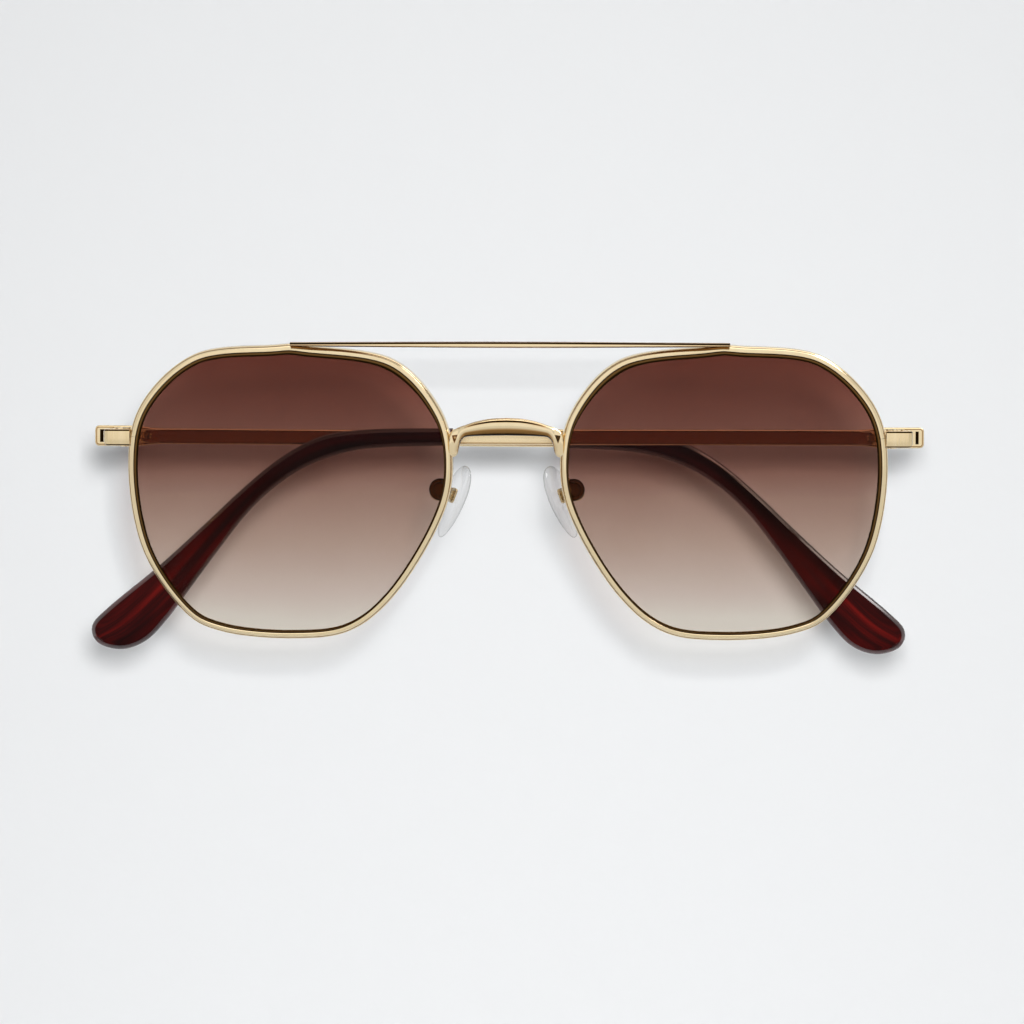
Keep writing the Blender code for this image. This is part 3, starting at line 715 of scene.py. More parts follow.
def rim_section(reach):
    """Across the rim: +X away from the lens, +Y towards the front.

    From the outside in, the front has a bevel, a scribed line darkened by painted shade, a crowned
    face, a bright edge and a stepped ledge over the lens painted dark as shade, which reaches in as far
    as given. The groove and back carry lighter painted shade.
    """
    half = RIM_WIDTH / 2
    back = -RIM_DEPTH / 2
    lip = LENS_THICKNESS / 2 + GROOVE_GAP
    floor = GROOVE_DEPTH - half
    corners = [
        (half, 0.50, 0.0, 0.05),
        (0.57, 0.82, 0.0, 0.04),
        (0.46, 0.90),
        (0.43, 0.89, 0.8),
        (0.37, 0.92, 0.8),
        (0.34, 0.96),
        (0.22, 1.04, 0.0, 0.05),
        (-0.04, 1.09, 0.0, 0.08),
        (-0.30, 1.07),
        (-0.38, 1.0),
        (-0.41, 0.95, 1.0),
        (-0.54, 0.90, 1.0),
        (-0.57, 0.89, 0.82),
        (-0.57 - 0.5 * reach, 0.885, 0.85),
        (-0.60 - 0.52 * reach, 0.88, 1.0),
        (-0.66 - reach, 0.87, 1.0),
        (-0.66 - reach, lip, 1.0),
        (-half, lip, 1.0),
        (floor, lip - LENS_CHAMFER, 0.8),
        (floor, LENS_CHAMFER - lip, 0.8),
        (-half, -lip, 0.6),
        (-half, -0.95, 0.2, 0.04),
        (-0.42, back, 0.0, 0.1),
        (0.40, back, 0.0, 0.12),
        (half, -0.72, 0.1, 0.12),
    ]
    return section_with_painted_shade(corners)


LEDGE_REACH = 0.5
UPPER_INNER_CORNER = {label: Vector((-0.6 * side, 0.8)) for label, side in SIDES.items()}


def make_rim(label, side):
    """The rim follows the lens's curve and is open by a hair behind the end piece."""
    loop = inset(lens_outline(side), RIM_WIDTH / 2)
    count = len(loop)
    frames = []
    for index, point in enumerate(loop):
        along = (loop[(index + 1) % count] - loop[index - 1]).normalized()
        frames.append((point, Vector((along.y, -along.x))))
    outer = [index for index in range(count) if side * loop[index].x > 0]
    nearest = min(outer, key=lambda index: abs(loop[index].y - LENS_DROP))
    order = frames[nearest + 1 :] + frames[:nearest]
    for end, neighbour in ((0, 1), (-1, -2)):
        point, out = order[end]
        slope = point - order[neighbour][0]
        edge = LENS_DROP + math.copysign(RIM_SPLIT / 2, point.y - LENS_DROP)
        order[end] = (order[neighbour][0] + slope * (edge - order[neighbour][0].y) / slope.y, out)
    rings = []
    painted_shades = []
    for point, out in order:
        # The painted dark ledge is widest on the temple side and at the upper inner corner, and
        # slimmest beside the nose.
        corner = max(0.0, out.dot(UPPER_INNER_CORNER[label]))
        reach = LEDGE_REACH * (0.6 + 0.45 * side * out.x + 0.15 * out.y + 0.8 * corner**8)
        section, shade = rim_section(reach)
        ring = []
        for across, forward in section:
            spot = point + out * across
            ring.append((spot.x, spot.y, forward - sag(spot.x, spot.y)))
        rings.append(ring)
        painted_shades += shade
    rim = make_mesh(f"rim_{label}_polished", *loft(rings), lens_frame(side), painted_shades)
    finish_piece(rim, GOLD, SECTION_SHARP)


LENS_RINGS = 14
LENS_SHOULDER = LENS_CHAMFER + 0.3


def make_lens(label, side):
    loop = inset(lens_outline(side), RIM_WIDTH - GROOVE_DEPTH + GROOVE_GAP)
    half = LENS_THICKNESS / 2
    steps = [(ring / LENS_RINGS, 0.0, half) for ring in range(1, LENS_RINGS)]
    steps += [(1.0, LENS_SHOULDER, half), (1.0, LENS_CHAMFER, half), (1.0, 0.0, half - LENS_CHAMFER)]
    steps += [(scale, shrink, -height) for scale, shrink, height in reversed(steps)]
    rings = []
    for scale, shrink, height in steps:
        shape = inset(loop, LENS_SHOULDER if scale < 1.0 else shrink)
        spots = [point * scale for point in shape]
        rings.append([(spot.x, spot.y, height - sag(spot.x, spot.y)) for spot in spots])
    points, faces = loft(rings, caps=False)
    size = len(loop)
    for centre_height, start, order in ((half, 0, 1), (-half, len(points) - size, -1)):
        centre = len(points)
        points.append((0.0, 0.0, centre_height))
        for column in range(size):
            faces.append((centre, start + column, start + (column + 1) % size)[::order])
    lens = make_mesh(f"lens_{label}_tinted", points, faces, lens_frame(side))
    finish_piece(lens, TINT)


# Brow bar and bridge


def make_brow_bar():
    """A slim bar, slightly arched, with square ends and a bevelled front."""
    half = BROW_HALF_LENGTH
    start = BROW_CENTRE - half
    end = BROW_CENTRE + half
    top = smooth([(start, BROW_END_TOP), (0.0, BROW_TOP), (end, BROW_END_TOP)], 24)
    under = smooth([(start, BROW_END_BOTTOM), (0.0, BROW_BOTTOM), (end, BROW_END_BOTTOM)], 24)
    back = BROW_FORWARD - BROW_DEPTH / 2
    front = back + BROW_DEPTH
    rings = []
    painted_shades = []
    for high_point, low_point in zip(top, under):
        z0, z1 = low_point.y, high_point.y
        # Painted shade darkens the lower edge and a black line along the top bevel of the front.
        corners = [
            (back, z0, 0.5, 0.12),
            (front - 0.22, z0, 0.75),
            (front - 0.14, z0 + 0.07, 0.7),
            (front - 0.05, z0 + 0.2, 0.35),
            (front, z0 + 0.26),
            (front, z1 - 0.34),
            (front - 0.04, z1 - 0.26, 1.0),
            (front - 0.22, z1 - 0.08, 1.0),
            (front - 0.4, z1, 0.6),
            (back, z1, 0.1, 0.12),
        ]
        section, shade = section_with_painted_shade(corners)
        rings.append([(high_point.x, z, y) for y, z in section])
        painted_shades += shade
    bar = make_mesh("brow_bar_polished", *loft(rings), FRONT_PLANE, painted_shades)
    finish_piece(bar, GOLD, SECTION_SHARP)


BRIDGE_TOP = [(0.0, 3.75), (2.6, 3.62), (5.0, 3.15), (7.0, 2.5), (8.4, 1.95), (9.3, 1.3), (9.62, 0.5)]
BRIDGE_UNDER = [
    (0.0, 0.72), (4.0, 0.65), (6.6, 0.5), (7.35, 0.15), (7.8, -0.6),
    (8.0, -1.5), (8.25, -2.4), (8.7, -2.9), (9.3, -3.02), (9.62, -2.8),
]


def height_at(curve, x):
    for first, second in zip(curve, curve[1:]):
        if first[0] <= x <= second[0]:
            return first[1] + (second[1] - first[1]) * (x - first[0]) / max(second[0] - first[0], 1e-9)
    return curve[-1][1]


# Corners of the wedge cut into the front of each foot, at its mouth and bottom, and of the plug
# that floors it, painted dark as the notch's shade.
NOTCH_MOUTH = [(8.05, 1.1), (9.45, 1.05), (8.75, -0.85)]
NOTCH_BOTTOM = [(8.5, 0.5), (8.9, 0.5), (8.72, 0.1)]
NOTCH_SHADOW_PLUG = [(8.36, 0.82), (9.1, 0.8), (8.74, -0.3)]


def triangle(side, corners, height):
    return [(side * x, y, height) for x, y in corners]


def make_bridge():
    """An arched bar, bellied at the front, whose ends turn down into solder feet."""
    top = [tuple(point) for point in smooth(BRIDGE_TOP, 8)]
    under = [tuple(point) for point in smooth(BRIDGE_UNDER, 8)]
    places = sorted({round(x, 3) for x, _ in under} | {round(x, 3) for x, _ in top})
    places = [x for x in places if x < 9.6]
    stations = [-x for x in reversed(places) if x > 0] + places
    back = BRIDGE_FORWARD - BRIDGE_DEPTH / 2
    rings = []
    painted_shades = []
    for x in stations:
        z0, z1 = height_at(under, abs(x)), height_at(top, abs(x))
        span = z1 - z0
        foot = min(1.0, max(0.0, (abs(x) - 6.8) / 2.0))
        depth = BRIDGE_DEPTH - 0.25 * foot
        # Painted shade: a dark line under the top, a black lower edge and a darker band beneath it, all
        # fading out on the feet.
        arch_shade_share = 1.0 - foot
        line = max(0.0, 1.0 - (x / 7.2) ** 6)
        edge = min(1.0, max(0.0, (8.4 - abs(x)) / 0.5))
        corners = [
            (0.0, z0 + 0.06 * span, 0.3, 0.1),
            (0.5 * depth, z0, edge, 0.08),
            (0.62 * depth, z0 + 0.03 * span, edge),
            (0.78 * depth, z0 + 0.12 * span, edge),
            (0.86 * depth, z0 + 0.19 * span, 0.72 * arch_shade_share),
            (0.95 * depth, z0 + 0.34 * span, 0.6 * arch_shade_share),
            (0.98 * depth, z0 + 0.42 * span, 0.3 * arch_shade_share),
            (depth, z0 + 0.5 * span),
            (depth, z1 - 0.3 * span),
            (0.96 * depth, z1 - 0.23 * span, 0.05),
            (0.93 * depth, z1 - 0.2 * span, line),
            (0.87 * depth, z1 - 0.13 * span, line),
            (0.84 * depth, z1 - 0.1 * span),
            (0.6 * depth, z1, 0.25 * arch_shade_share, 0.08),
            (0.0, z1 - 0.06 * span, 0.1, 0.1),
        ]
        section, shade = section_with_painted_shade(corners)
        rings.append([(x, z, back + y) for y, z in section])
        painted_shades += shade
    bridge = make_mesh("bridge_polished", *loft(rings), FRONT_PLANE, painted_shades)
    for side in SIDES.values():
        wedge = [triangle(side, NOTCH_BOTTOM, back + 0.75), triangle(side, NOTCH_MOUTH, 2.5)]
        cut(bridge, make_mesh("notch", *loft(wedge), FRONT_PLANE))
        shadow_plug = [triangle(side, NOTCH_SHADOW_PLUG, back + height) for height in (0.5, 1.12)]
        attach(bridge, make_mesh("notch_floor", *loft(shadow_plug), FRONT_PLANE, [0.9] * 6))
    finish_piece(bridge, GOLD, BRIDGE_SHARP)


# End pieces, rim locks and hinges


def end_piece_section(foot, thickness):
    """Across the strip: +X towards the front, +Y up. Foot lifts the lower front edge."""
    h = thickness - STRIP_THICKNESS / 2
    v = END_PIECE_HEIGHT / 2
    low = foot - v
    # Painted shade draws dark lines along the top and bottom edges of the front face.
    corners = [
        (h - 0.04, low + 0.3),
        (h, low + 0.42),
        (h, v - 0.5),
        (h - 0.04, v - 0.36),
        (h - 0.06, v - 0.32, 1.0),
        (h - 0.14, v - 0.14, 1.0),
        (h - 0.17, v - 0.05),
        (h - 0.3, v, 0.0, 0.06),
        (-STRIP_THICKNESS / 2, v, 0.0, 0.14),
        (-STRIP_THICKNESS / 2, low, 0.1, 0.14),
        (h - 0.34, low, 0.3),
        (h - 0.26, low + 0.02, 1.0),
        (h - 0.08, low + 0.19, 1.0),
        (h - 0.06, low + 0.23),
    ]
    return section_with_painted_shade(corners)


BEND_THINNING = 0.42
BEND_STEPS = 12


def make_end_piece(label, side):
    """A strip that leaves the rim sideways and turns back, by a tight bend, to the temple.

    Each place on its path has x, y and how far its lower front edge is lifted.
    """
    outer = HINGE_X + BAR_OFFSET + STRIP_THICKNESS / 2
    bend_x = outer - END_PIECE_BEND
    bend_y = END_PIECE_Y + END_PIECE_BEND
    path = [(END_PIECE_START - 0.65, END_PIECE_Y, 0.0), (END_PIECE_START + 1.2, END_PIECE_Y, 0.0)]
    for step in range(BEND_STEPS + 1):
        angle = math.pi / 2 * (step / BEND_STEPS - 1)
        x = bend_x + END_PIECE_BEND * math.cos(angle)
        y = bend_y + END_PIECE_BEND * math.sin(angle)
        path.append((x, y, 0.5 * (step / BEND_STEPS) ** 2))
    path.append((outer, HINGE_Y - BUTT_LENGTH - BUTT_GAP, 0.2))
    points = [Vector(point[:2]) for point in path]
    rings = []
    painted_shades = []
    for index, point in enumerate(points):
        along = (points[min(index + 1, len(path) - 1)] - points[max(index - 1, 0)]).normalized()
        out = Vector((along.y, -along.x))
        # The strip is thinned on its outside where it turns back.
        turned_back = min(1.0, max(0.0, along.y))
        thickness = STRIP_THICKNESS - BEND_THINNING * turned_back
        section, shade = end_piece_section(path[index][2], thickness)
        rings.append([(side * (point.x + out.x * a), point.y + out.y * a, b) for a, b in section])
        painted_shades += shade
    strip = make_mesh(f"end_piece_{label}_polished", *loft(rings), DATUM, painted_shades)
    finish_piece(strip, PLATE_GOLD, SECTION_SHARP)


def make_front_hinge(label, side):
    place = hinge_frame(side)
    name = f"front_hinge_{label}_fine"
    low = KNUCKLE_HALF_HEIGHT + KNUCKLE_GAP
    leaf_end = END_PIECE_Y + LEAF_REACH - HINGE_Y
    leaf_start = -KNUCKLE_RADIUS - 0.3
    start = (side * LEAF_INNER, leaf_end, -LEAF_HALF_HEIGHT)
    leaf = block(name, start, (side * LEAF_OUTER, leaf_start, LEAF_HALF_HEIGHT), place, 0.08)
    for level in (1, -1):
        start = (side * (LEAF_INNER + ARM_INSET), leaf_start - 0.4, level * (low + ARM_INSET))
        reach = (side * (LEAF_OUTER - ARM_INSET), 0.0, level * (KNUCKLE_TOP - ARM_INSET))
        arm = block("arm", start, reach, place)
        ends = sorted((level * low, level * KNUCKLE_TOP))
        unite(leaf, arm, rod("knuckle", KNUCKLE_RADIUS, *ends, place, 0.08, 48))
    bore = rod("bore", HINGE_BORE_RADIUS, -1.2, 2.0, place)
    seat = rod("seat", HINGE_HEAD_RADIUS + 0.06, KNUCKLE_TOP - HINGE_HEAD_HEIGHT - 0.05, 2.0, place)
    cut(leaf, bore, seat)
    finish_piece(leaf, GOLD)


def slotted_screw(node, radii, heights, place, slot_turn):
    """A round-topped screw with a slot, head up along the place's Z.

    Radii are of the head and shank. Heights are of the top, the head and the whole screw.
    """
    head, shank = radii
    top, head_height, length = heights
    lip = head_height * 0.25
    profile = [
        (shank, top - length),
        (shank, top - head_height),
        (head, top - head_height),
        (head, top - lip),
        (head * 0.88, top - lip * 0.25),
        (head * 0.6, top),
    ]
    screw = turned_solid(f"{node}_fine", profile, place, 48)
    turn = place @ turned(math.radians(slot_turn), "Z")
    low = (-head * 2, -head * 0.13, top - head_height * 0.5)
    cut(screw, block("slot", low, (head * 2, head * 0.13, top + 1.0), turn))
    finish_piece(screw, SCREW_METAL)


def make_hinge_screw(label, side):
    radii = (HINGE_HEAD_RADIUS, HINGE_SCREW_RADIUS)
    heights = (KNUCKLE_TOP - 0.02, HINGE_HEAD_HEIGHT, KNUCKLE_TOP + 1.13)
    slot_turn = 35.0 if side > 0 else 110.0
    slotted_screw(f"hinge_screw_{label}", radii, heights, hinge_frame(side), slot_turn)


def make_rim_lock(label, side):
    x_low, x_high, y_low, y_high = LOCK_BLOCK
    screw_x, screw_y = LOCK_SCREW_PLACE
    place = DATUM @ moved(side * screw_x, screw_y, 0.0)
    for part, level in (("upper", 1), ("lower", -1)):
        low = (side * x_low, y_low, level * LOCK_SPLIT)
        high = (side * x_high, y_high, level * LOCK_HALF_HEIGHT)
        half = block(f"rim_lock_{part}_{label}_fine", low, high, DATUM, 0.16)
        cut(half, rod("bore", LOCK_SCREW_RADIUS + 0.05, -2.5, 2.5, place))
        if level > 0:
            cut(half, rod("seat", LOCK_HEAD_RADIUS + 0.05, LOCK_HALF_HEIGHT - 0.4, 2.5, place))
        finish_piece(half, GOLD)
    radii = (LOCK_HEAD_RADIUS, LOCK_SCREW_RADIUS)
    heights = (LOCK_HALF_HEIGHT - 0.03, 0.33, 2 * LOCK_HALF_HEIGHT - 0.13)
    slotted_screw(f"rim_lock_screw_{label}", radii, heights, place, 20.0 if side > 0 else -35.0)


# Temples

BAR_BEVEL = 0.34
# A narrow strip painted black as shadow across the butt's inner face, in front of the hinge leaf.
SHADOW_STRIP_PLACE = {"right": 2.55, "left": 3.0}
SHADOW_STRIP_WIDTH = {"right": 1.05, "left": 0.55}
SHADOW_STRIP_HALF_HEIGHT = 1.1


def make_temple_bar(label, side):
    """A flat bevelled bar with a rounded butt in front of the hinge, and painted shade along its
    bevels' edges.
    """
    butt, bar = BUTT_HEIGHT / 2, BAR_HEIGHT / 2
    upper = [(-BUTT_LENGTH, butt), (3.0, butt), (6.0, bar), (SLEEVE_START + 2.0, bar)]
    loop = [(x, -height) for x, height in upper] + upper[::-1]
    loop = softened(loop, [0.85, 1.5, 1.5, 0.1, 0.1, 1.5, 1.5, 0.85], 6)
    ends = sorted((side * BAR_OFFSET, side * (BAR_OFFSET + STRIP_THICKNESS)))
    obj = plate(f"temple_bar_{label}_polished", loop, *ends, temple_line(label), BAR_BEVEL, 3, 0.6)
    face = side * BAR_OFFSET
    low = (-SHADOW_STRIP_PLACE[label] - SHADOW_STRIP_WIDTH[label], -SHADOW_STRIP_HALF_HEIGHT, face - side * 0.03)
    high = (-SHADOW_STRIP_PLACE[label], SHADOW_STRIP_HALF_HEIGHT, face + side * 0.2)
    attach(obj, block("slot_floor", low, high, temple_line(label), 0.02, tone=1.0))
    finish_piece(obj, BAR_GOLD, body=f"{label}_temple")


def make_temple_hinge(label, side):
    place = temple_axis(label)
    half = KNUCKLE_HALF_HEIGHT
    low = (KNUCKLE_RADIUS + 0.3, -1.1, side * LEAF_INNER)
    leaf = block(f"temple_hinge_{label}_fine", low, (6.8, 1.1, side * LEAF_OUTER), place, 0.12)
    start = (0.0, ARM_INSET - half, side * (LEAF_INNER + ARM_INSET))
    arm = block("arm", start, (2.0, half - ARM_INSET, side * (LEAF_OUTER - ARM_INSET)), place)
    upright = place @ turned(-math.pi / 2, "X")
    unite(leaf, arm, rod("knuckle", KNUCKLE_RADIUS, -half, half, upright, 0.08, 48))
    cut(leaf, rod("bore", HINGE_BORE_RADIUS, -1.0, 1.0, upright))
    for along in (2.9, 5.4):
        rivet = place @ moved(along, 0.0, 0.0)
        low, high = sorted((side * (LEAF_INNER - 0.1), side * (LEAF_OUTER - 0.1)))
        unite(leaf, rod("rivet", 0.42, low, high, rivet, 0.06, 32))
    finish_piece(leaf, GOLD, body=f"{label}_temple")


SLEEVE_STEPS = 10
# The edge's chamfer, softened at both ends: how far in from the outline, and how far down.
SLEEVE_CHAMFER = [(0.82, 0.0), (0.72, 0.02), (0.64, 0.07), (0.2, 0.5), (0.07, 0.66), (0.0, 0.84)]
SLEEVE_ROWS = 6
SLEEVE_CROWN = 0.12


def resampled(points, count):
    """Evenly spaced points along an open line."""
    lengths = [0.0]
    for first, second in zip(points, points[1:]):
        lengths.append(lengths[-1] + (second - first).length)
    result = []
    index = 0
    for step in range(count):
        target = lengths[-1] * step / (count - 1)
        while index < len(points) - 2 and lengths[index + 1] < target:
            index += 1
        share = (target - lengths[index]) / max(lengths[index + 1] - lengths[index], 1e-9)
        result.append(points[index].lerp(points[index + 1], min(share, 1.0)))
    return result


def make_sleeve(label, side):
    """The acetate tip: an upper and a lower edge line, paired station by station."""
    shift = BEND_SHIFT[label]
    edge = SLEEVE_TOP + SLEEVE_FLANK + SLEEVE_END + SLEEVE_UNDERSIDE + SLEEVE_BOTTOM
    edge = [(x + shift * (x > BEND_START), y) for x, y in edge]
    line = smooth(edge, SLEEVE_STEPS)
    turn = (len(SLEEVE_TOP + SLEEVE_FLANK) + 1) * SLEEVE_STEPS
    stations = 120
    upper = resampled(line[: turn + 1], stations)
    lower = resampled(line[turn:][::-1], stations)
    loop = lower[:-1] + upper[::-1]
    middle = side * (BAR_OFFSET + STRIP_THICKNESS / 2)
    half = SLEEVE_THICKNESS / 2
    rings = [(shrink, drop - half) for shrink, drop in SLEEVE_CHAMFER]
    rings += [(shrink, -height) for shrink, height in reversed(rings)]
    count = len(loop)
    flow = []
    skins = [[(*point, middle + height) for point in inset(loop, shrink)] for shrink, height in rings]
    points, faces = loft(skins, caps=False)
    # Position along the tip, across it and through it, for the streaks.
    station_of = [*range(stations - 1), *range(stations - 1, -1, -1)]
    across_of = [-1.0] * (stations - 1) + [1.0] * stations
    widths = [(up - down).length / 2 for up, down in zip(upper, lower)]
    for shrink, height in rings:
        for station, across in zip(station_of, across_of):
            flow.append((station, across * max(widths[station] - shrink, 0.0), height))
    for face, first in ((-1, 0), (1, len(points) - count)):
        rows = []
        ring = skins[0] if face < 0 else skins[-1]
        for station in range(stations - 1):
            low, high = Vector(ring[station]), Vector(ring[count - 1 - station])
            row = [first + station]
            for step in range(1, SLEEVE_ROWS):
                share = step / SLEEVE_ROWS
                point = low.lerp(high, share)
                wide = widths[station]
                point.z += face * SLEEVE_CROWN * min(1.0, wide / 2.0) * (1 - (2 * share - 1) ** 2)
                row.append(len(points))
                points.append(tuple(point))
                flow.append((station, (2 * share - 1) * wide, face * half))
            row.append(first + count - 1 - station)
            rows.append(row)
        for one, two in zip(rows, rows[1:]):
            for a, b, c, d in zip(one, one[1:], two[1:], two):
                faces.append((a, b, c, d)[::face])
        tip = first + stations - 1
        last = rows[-1]
        for a, b in zip(last, last[1:]):
            faces.append((a, b, tip)[::face])
    spacing = (upper[0] - upper[1]).length
    seed = 40.0 if side > 0 else 0.0
    flows = [(x * spacing, y + seed, z) for x, y, z in flow]
    name = f"temple_tip_{label}_acetate"
    sleeve = make_mesh(name, points, faces, temple_line(label), flows=flows)
    finish_piece(sleeve, ACETATE, body=f"{label}_temple")


# Nose pads


def make_pad(label, side):
    """A drop-shaped pad, rounder towards the nose and flatter at its back."""
    rings_count, sides = 28, 44
    rings = []
    for ring in range(1, rings_count):
        angle = math.pi * ring / rings_count
        z = -math.cos(angle)
        reach = math.sin(angle)
        loop = []
        for across, along in circle(sides):
            x = math.copysign(abs(reach * across) ** 0.85, across)
            depth = x * PAD_HALF_THICKNESS * (1.0 if x > 0 else 0.8) + PIVOT_BEHIND_PAD
            width = reach * along * PAD_HALF_WIDTH * (1.0 + PAD_TAPER * z)
            loop.append((depth, width, z * PAD_HALF_LENGTH - PIVOT_ABOVE_CENTRE))
        rings.append(loop)
    pad = make_mesh(f"nose_pad_{label}_clear", *loft(rings), pad_frame(side))
    finish_piece(pad, CLEAR, PAD_SHARP, body=f"{label}_pad")


def make_lug(label, side):
    place = pad_frame(side)
    thickness, width, length = LUG_PLATE
    back = PIVOT_BEHIND_PAD - PAD_HALF_THICKNESS + 0.25
    loop = softened(rectangle(width, length), 0.6, 4)
    flat = place @ Matrix(((0, 0, 1, 0), (1, 0, 0, 0), (0, 1, 0, 0), (0, 0, 0, 1)))
    lug = plate(f"pad_lug_{label}_fine", loop, back, back + thickness, flat, 0.06)
    half = TAB_THICKNESS / 2
    tab = (back + thickness / 2, half, TAB_HALF_HEIGHT)
    neck = block("neck", (0.0, -half, -TAB_HALF_HEIGHT), tab, place)
    eye = rod("eye", TAB_HALF_HEIGHT, -half, half, place @ turned(-math.pi / 2, "X"), 0.05)
    unite(lug, neck, eye)
    finish_piece(lug, SCREW_METAL, body=f"{label}_pad")


BOX_BACK = -TAB_HALF_HEIGHT - 0.75


def make_pad_box(label, side):
    place = pad_frame(side)
    low = (BOX_BACK, -BOX_WIDTH / 2, -BOX_LENGTH / 2)
    high = (BOX_BACK + BOX_THICKNESS + 0.7, BOX_WIDTH / 2, BOX_LENGTH / 2)
    # Painted shade darkens the whole box a little.
    clevis = block(f"pad_box_{label}_fine", low, high, place, 0.22, tone=0.3)
    slot = block("slot", (-TAB_HALF_HEIGHT - 0.2, -BOX_SLOT / 2, -2.0), (2.0, BOX_SLOT / 2, 2.0), place)
    bore = rod("bore", PAD_SCREW_RADIUS + 0.05, -2.0, 2.0, place @ turned(-math.pi / 2, "X"))
    cut(clevis, slot, bore)
    finish_piece(clevis, GOLD)


def make_pad_screw(label, side):
    place = pad_frame(side) @ turned(-side * math.pi / 2, "X")
    top = BOX_WIDTH / 2 + 0.03 + PAD_HEAD_HEIGHT
    radii = (PAD_HEAD_RADIUS, PAD_SCREW_RADIUS)
    heights = (top, PAD_HEAD_HEIGHT, top + BOX_WIDTH / 2)
    slotted_screw(f"pad_screw_{label}", radii, heights, place, 60.0)


def make_pad_arm(label, side):
    """A wire that curls from the rim's back to the pad box, with a gold disc behind the pad darkened by
    painted shade in rings.
    """
    turn = DATUM.inverted() @ pad_frame(side)
    back = BOX_BACK - 0.12
    last = turn @ Vector((back - 0.45, 0.0, -0.1))
    end = turn @ Vector((back, 0.0, 0.0))
    path = [Vector((side * x, y, z)) for x, y, z in ARM_PATH] + [last, end]
    arm = tube(f"pad_arm_{label}_wire", smooth(path, 10), ARM_RADIUS, DATUM, 24)
    disc_place = DATUM @ moved(side * ARM_DISC[0], ARM_DISC[1], ARM_DISC[2]) @ UPRIGHT
    radius = ARM_DISC_RADIUS
    profile = [
        (radius * 0.9, -0.4, 0.8),
        (radius, -0.25, 1.0),
        (radius, 0.2, 1.0),
        (radius * 0.93, 0.4, 1.0),
        (radius * 0.84, 0.4, 0.72),
        (radius * 0.72, 0.4, 0.68),
        (radius * 0.66, 0.3, 1.0),
        (radius * 0.58, 0.3, 1.0),
        (radius * 0.54, 0.3, 0.74),
    ]
    attach(arm, turned_solid("disc", profile, disc_place, 48))
    finish_piece(arm, GOLD)


make_brow_bar()
make_bridge()
PAIRS = [make_rim, make_lens, make_end_piece, make_front_hinge, make_hinge_screw, make_rim_lock]
PAIRS += [make_temple_bar, make_temple_hinge, make_sleeve]
PAIRS += [make_pad, make_lug, make_pad_box, make_pad_screw, make_pad_arm]
for LABEL, SIDE in SIDES.items():
    for make in PAIRS:
        make(LABEL, SIDE)


# Backdrop, lights and camera

WALL_Y = 0.175
FLOOR_Z = -0.27
FLOOR_FRONT = -0.12
STAGE_HALF_WIDTH = 0.5
WALL_TOP = 0.45
STAGE_BEND = 0.12
STAGE_STEPS = 12
PAPER = (0.86, 0.87, 0.88, 1.0)


def make_backdrop():
    """A pale floor that sweeps up behind the object. It can't be seen from its back."""
    profile = [(FLOOR_FRONT, FLOOR_Z)]
    for step in range(STAGE_STEPS + 1):
        angle = math.pi / 2 * step / STAGE_STEPS
        y = WALL_Y - STAGE_BEND + STAGE_BEND * math.sin(angle)
        profile.append((y, FLOOR_Z + STAGE_BEND - STAGE_BEND * math.cos(angle)))
    profile.append((WALL_Y, WALL_TOP))
    mesh = bpy.data.meshes.new("floor")
    points = []
    for y, z in profile:
        points += [(-STAGE_HALF_WIDTH, y, z), (STAGE_HALF_WIDTH, y, z)]
    faces = [(2 * i, 2 * i + 1, 2 * i + 3, 2 * i + 2) for i in range(len(profile) - 1)]
    mesh.from_pydata(points, [], faces)
    mesh.shade_smooth()
    floor = new_object("floor", mesh)
    material, nodes, shader = new_material("pale_paper")
    shader.inputs["Base Color"].default_value = PAPER
    shader.inputs["Roughness"].default_value = 0.9
    place = nodes.add("ShaderNodeTexCoord").outputs["Object"]
    nodes.feed(shader, "Normal", nodes.bump(nodes.noise(place, 900.0, 4.0), 0.15, 0.0002))
    through = nodes.add("ShaderNodeBsdfTransparent")
    nodes.finish(nodes.mixed(nodes.outward(), through, shader))
    mesh.materials.append(material)


make_backdrop()

TARGET = Vector((0.946, -6.3, -1.447)) * MM
CAMERA_DISTANCE = 0.6
CAMERA_AZIMUTH = math.radians(1.6)
CAMERA_ELEVATION = math.radians(2.788)
CAMERA_ROLL = math.radians(0.12)
FOCAL_LENGTH = 124.46
SENSOR_WIDTH = 36.0


def make_camera():
    data = bpy.data.cameras.new("camera")
    data.lens = FOCAL_LENGTH
    data.sensor_width = SENSOR_WIDTH
    data.clip_start = 0.01
    camera = new_object("camera", data)
    level = math.cos(CAMERA_ELEVATION)
    across = math.sin(CAMERA_AZIMUTH) * level
    back = Vector((across, -math.cos(CAMERA_AZIMUTH) * level, math.sin(CAMERA_ELEVATION)))
    camera.location = TARGET + back * CAMERA_DISTANCE
    camera.rotation_mode = "QUATERNION"
    roll = Matrix.Rotation(CAMERA_ROLL, 3, back).to_quaternion()
    camera.rotation_quaternion = roll @ (-back).to_track_quat("-Z", "Y")
    bpy.context.scene.camera = camera


make_camera()


# Softboxes show in polished surfaces and leave the paper to the lamps: place, size and power.
SOFTBOXES = {
    "front_softbox": ((0.0, -1.15, 0.45), (2.6, 1.5), 2.6),
    "top_softbox": ((0.2, -0.2, 0.95), (1.4, 0.7), 3.0),
    "glint_softbox": ((0.55, -0.1, 0.6), (0.25, 0.25), 1.6),
}
# Each lamp casts the shadows of some bodies only: place, power and those bodies.
SHADOW_LAMPS = {
    "front_shadow_lamp": ((0.0273, -0.6, 0.0485), 2.35, ("front", "left_pad", "right_pad")),
    "temple_shadow_lamp": ((0.0217, -0.6, 0.0397), 3.0, ("left_temple", "right_temple")),
}
LAMP_SIZE = (0.02, 0.02)


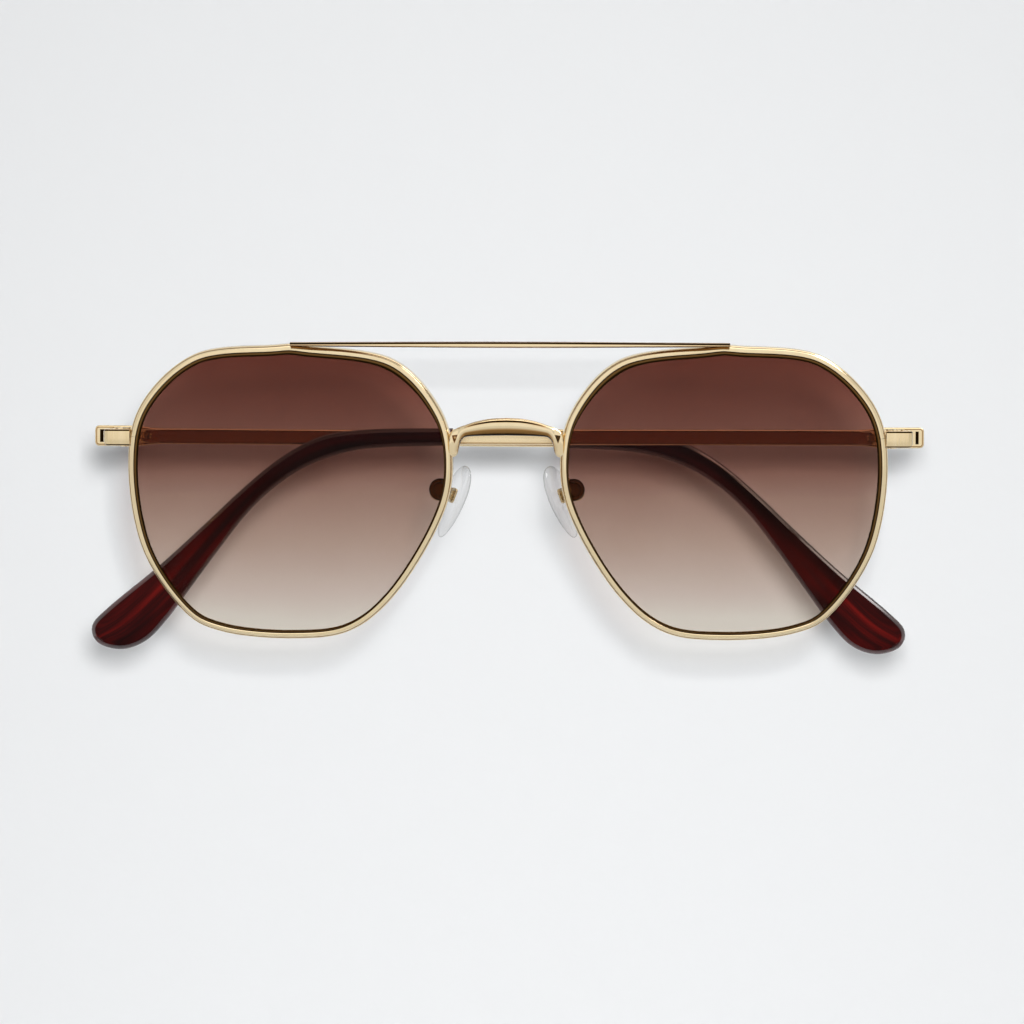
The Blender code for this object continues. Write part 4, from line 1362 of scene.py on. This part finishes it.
def area_light(name, place, size, power):
    """A rectangular light that faces the origin and is hidden from the camera."""
    data = bpy.data.lights.new(name, "AREA")
    data.shape = "RECTANGLE"
    data.size, data.size_y = size
    data.energy = power
    lamp = new_object(name, data)
    lamp.location = place
    lamp.rotation_mode = "QUATERNION"
    lamp.rotation_quaternion = (-Vector(place)).to_track_quat("-Z", "Y")
    lamp.visible_camera = False
    return lamp


def casts_shadow_of(lamp, bodies):
    """Limits the lamp's shadows to the pieces that ride on these bodies."""
    blockers = bpy.data.collections.new(f"{lamp.name}_blockers")
    for obj in bpy.data.objects:
        if obj.type == "MESH" and PIECE_BODIES.get(obj.name) in bodies:
            blockers.objects.link(obj)
    lamp.light_linking.blocker_collection = blockers


for NAME, (PLACE, SIZE, POWER) in SOFTBOXES.items():
    area_light(NAME, PLACE, SIZE, POWER).visible_diffuse = False
for NAME, (PLACE, POWER, BODIES) in SHADOW_LAMPS.items():
    SHADOW_LAMP = area_light(NAME, PLACE, LAMP_SIZE, POWER)
    SHADOW_LAMP.visible_glossy = False
    casts_shadow_of(SHADOW_LAMP, BODIES)

AMBIENT = (0.03, 0.03, 0.03, 1.0)
SEEN = (0.88, 0.89, 0.90, 1.0)
REFLECTED = (0.80, 0.80, 0.79, 1.0)


def make_world():
    """Bright all round in reflections, dim as ambient light, and plain to the camera."""
    world = bpy.data.worlds.new("studio")
    bpy.context.scene.world = world
    world.use_nodes = True
    nodes = Nodes(world.node_tree)
    path = nodes.add("ShaderNodeLightPath").outputs
    ambient = world.node_tree.nodes["Background"]
    ambient.inputs["Color"].default_value = AMBIENT
    seen = nodes.add("ShaderNodeBackground", Color=SEEN)
    reflected = nodes.add("ShaderNodeBackground", Color=REFLECTED)
    bounced = nodes.math("MAXIMUM", path["Is Glossy Ray"], path["Is Transmission Ray"])
    light = nodes.mixed(bounced, ambient, reflected)
    nodes.finish(nodes.mixed(path["Is Camera Ray"], light, seen), "World Output")


make_world()
bpy.context.scene.view_settings.view_transform = "Standard"
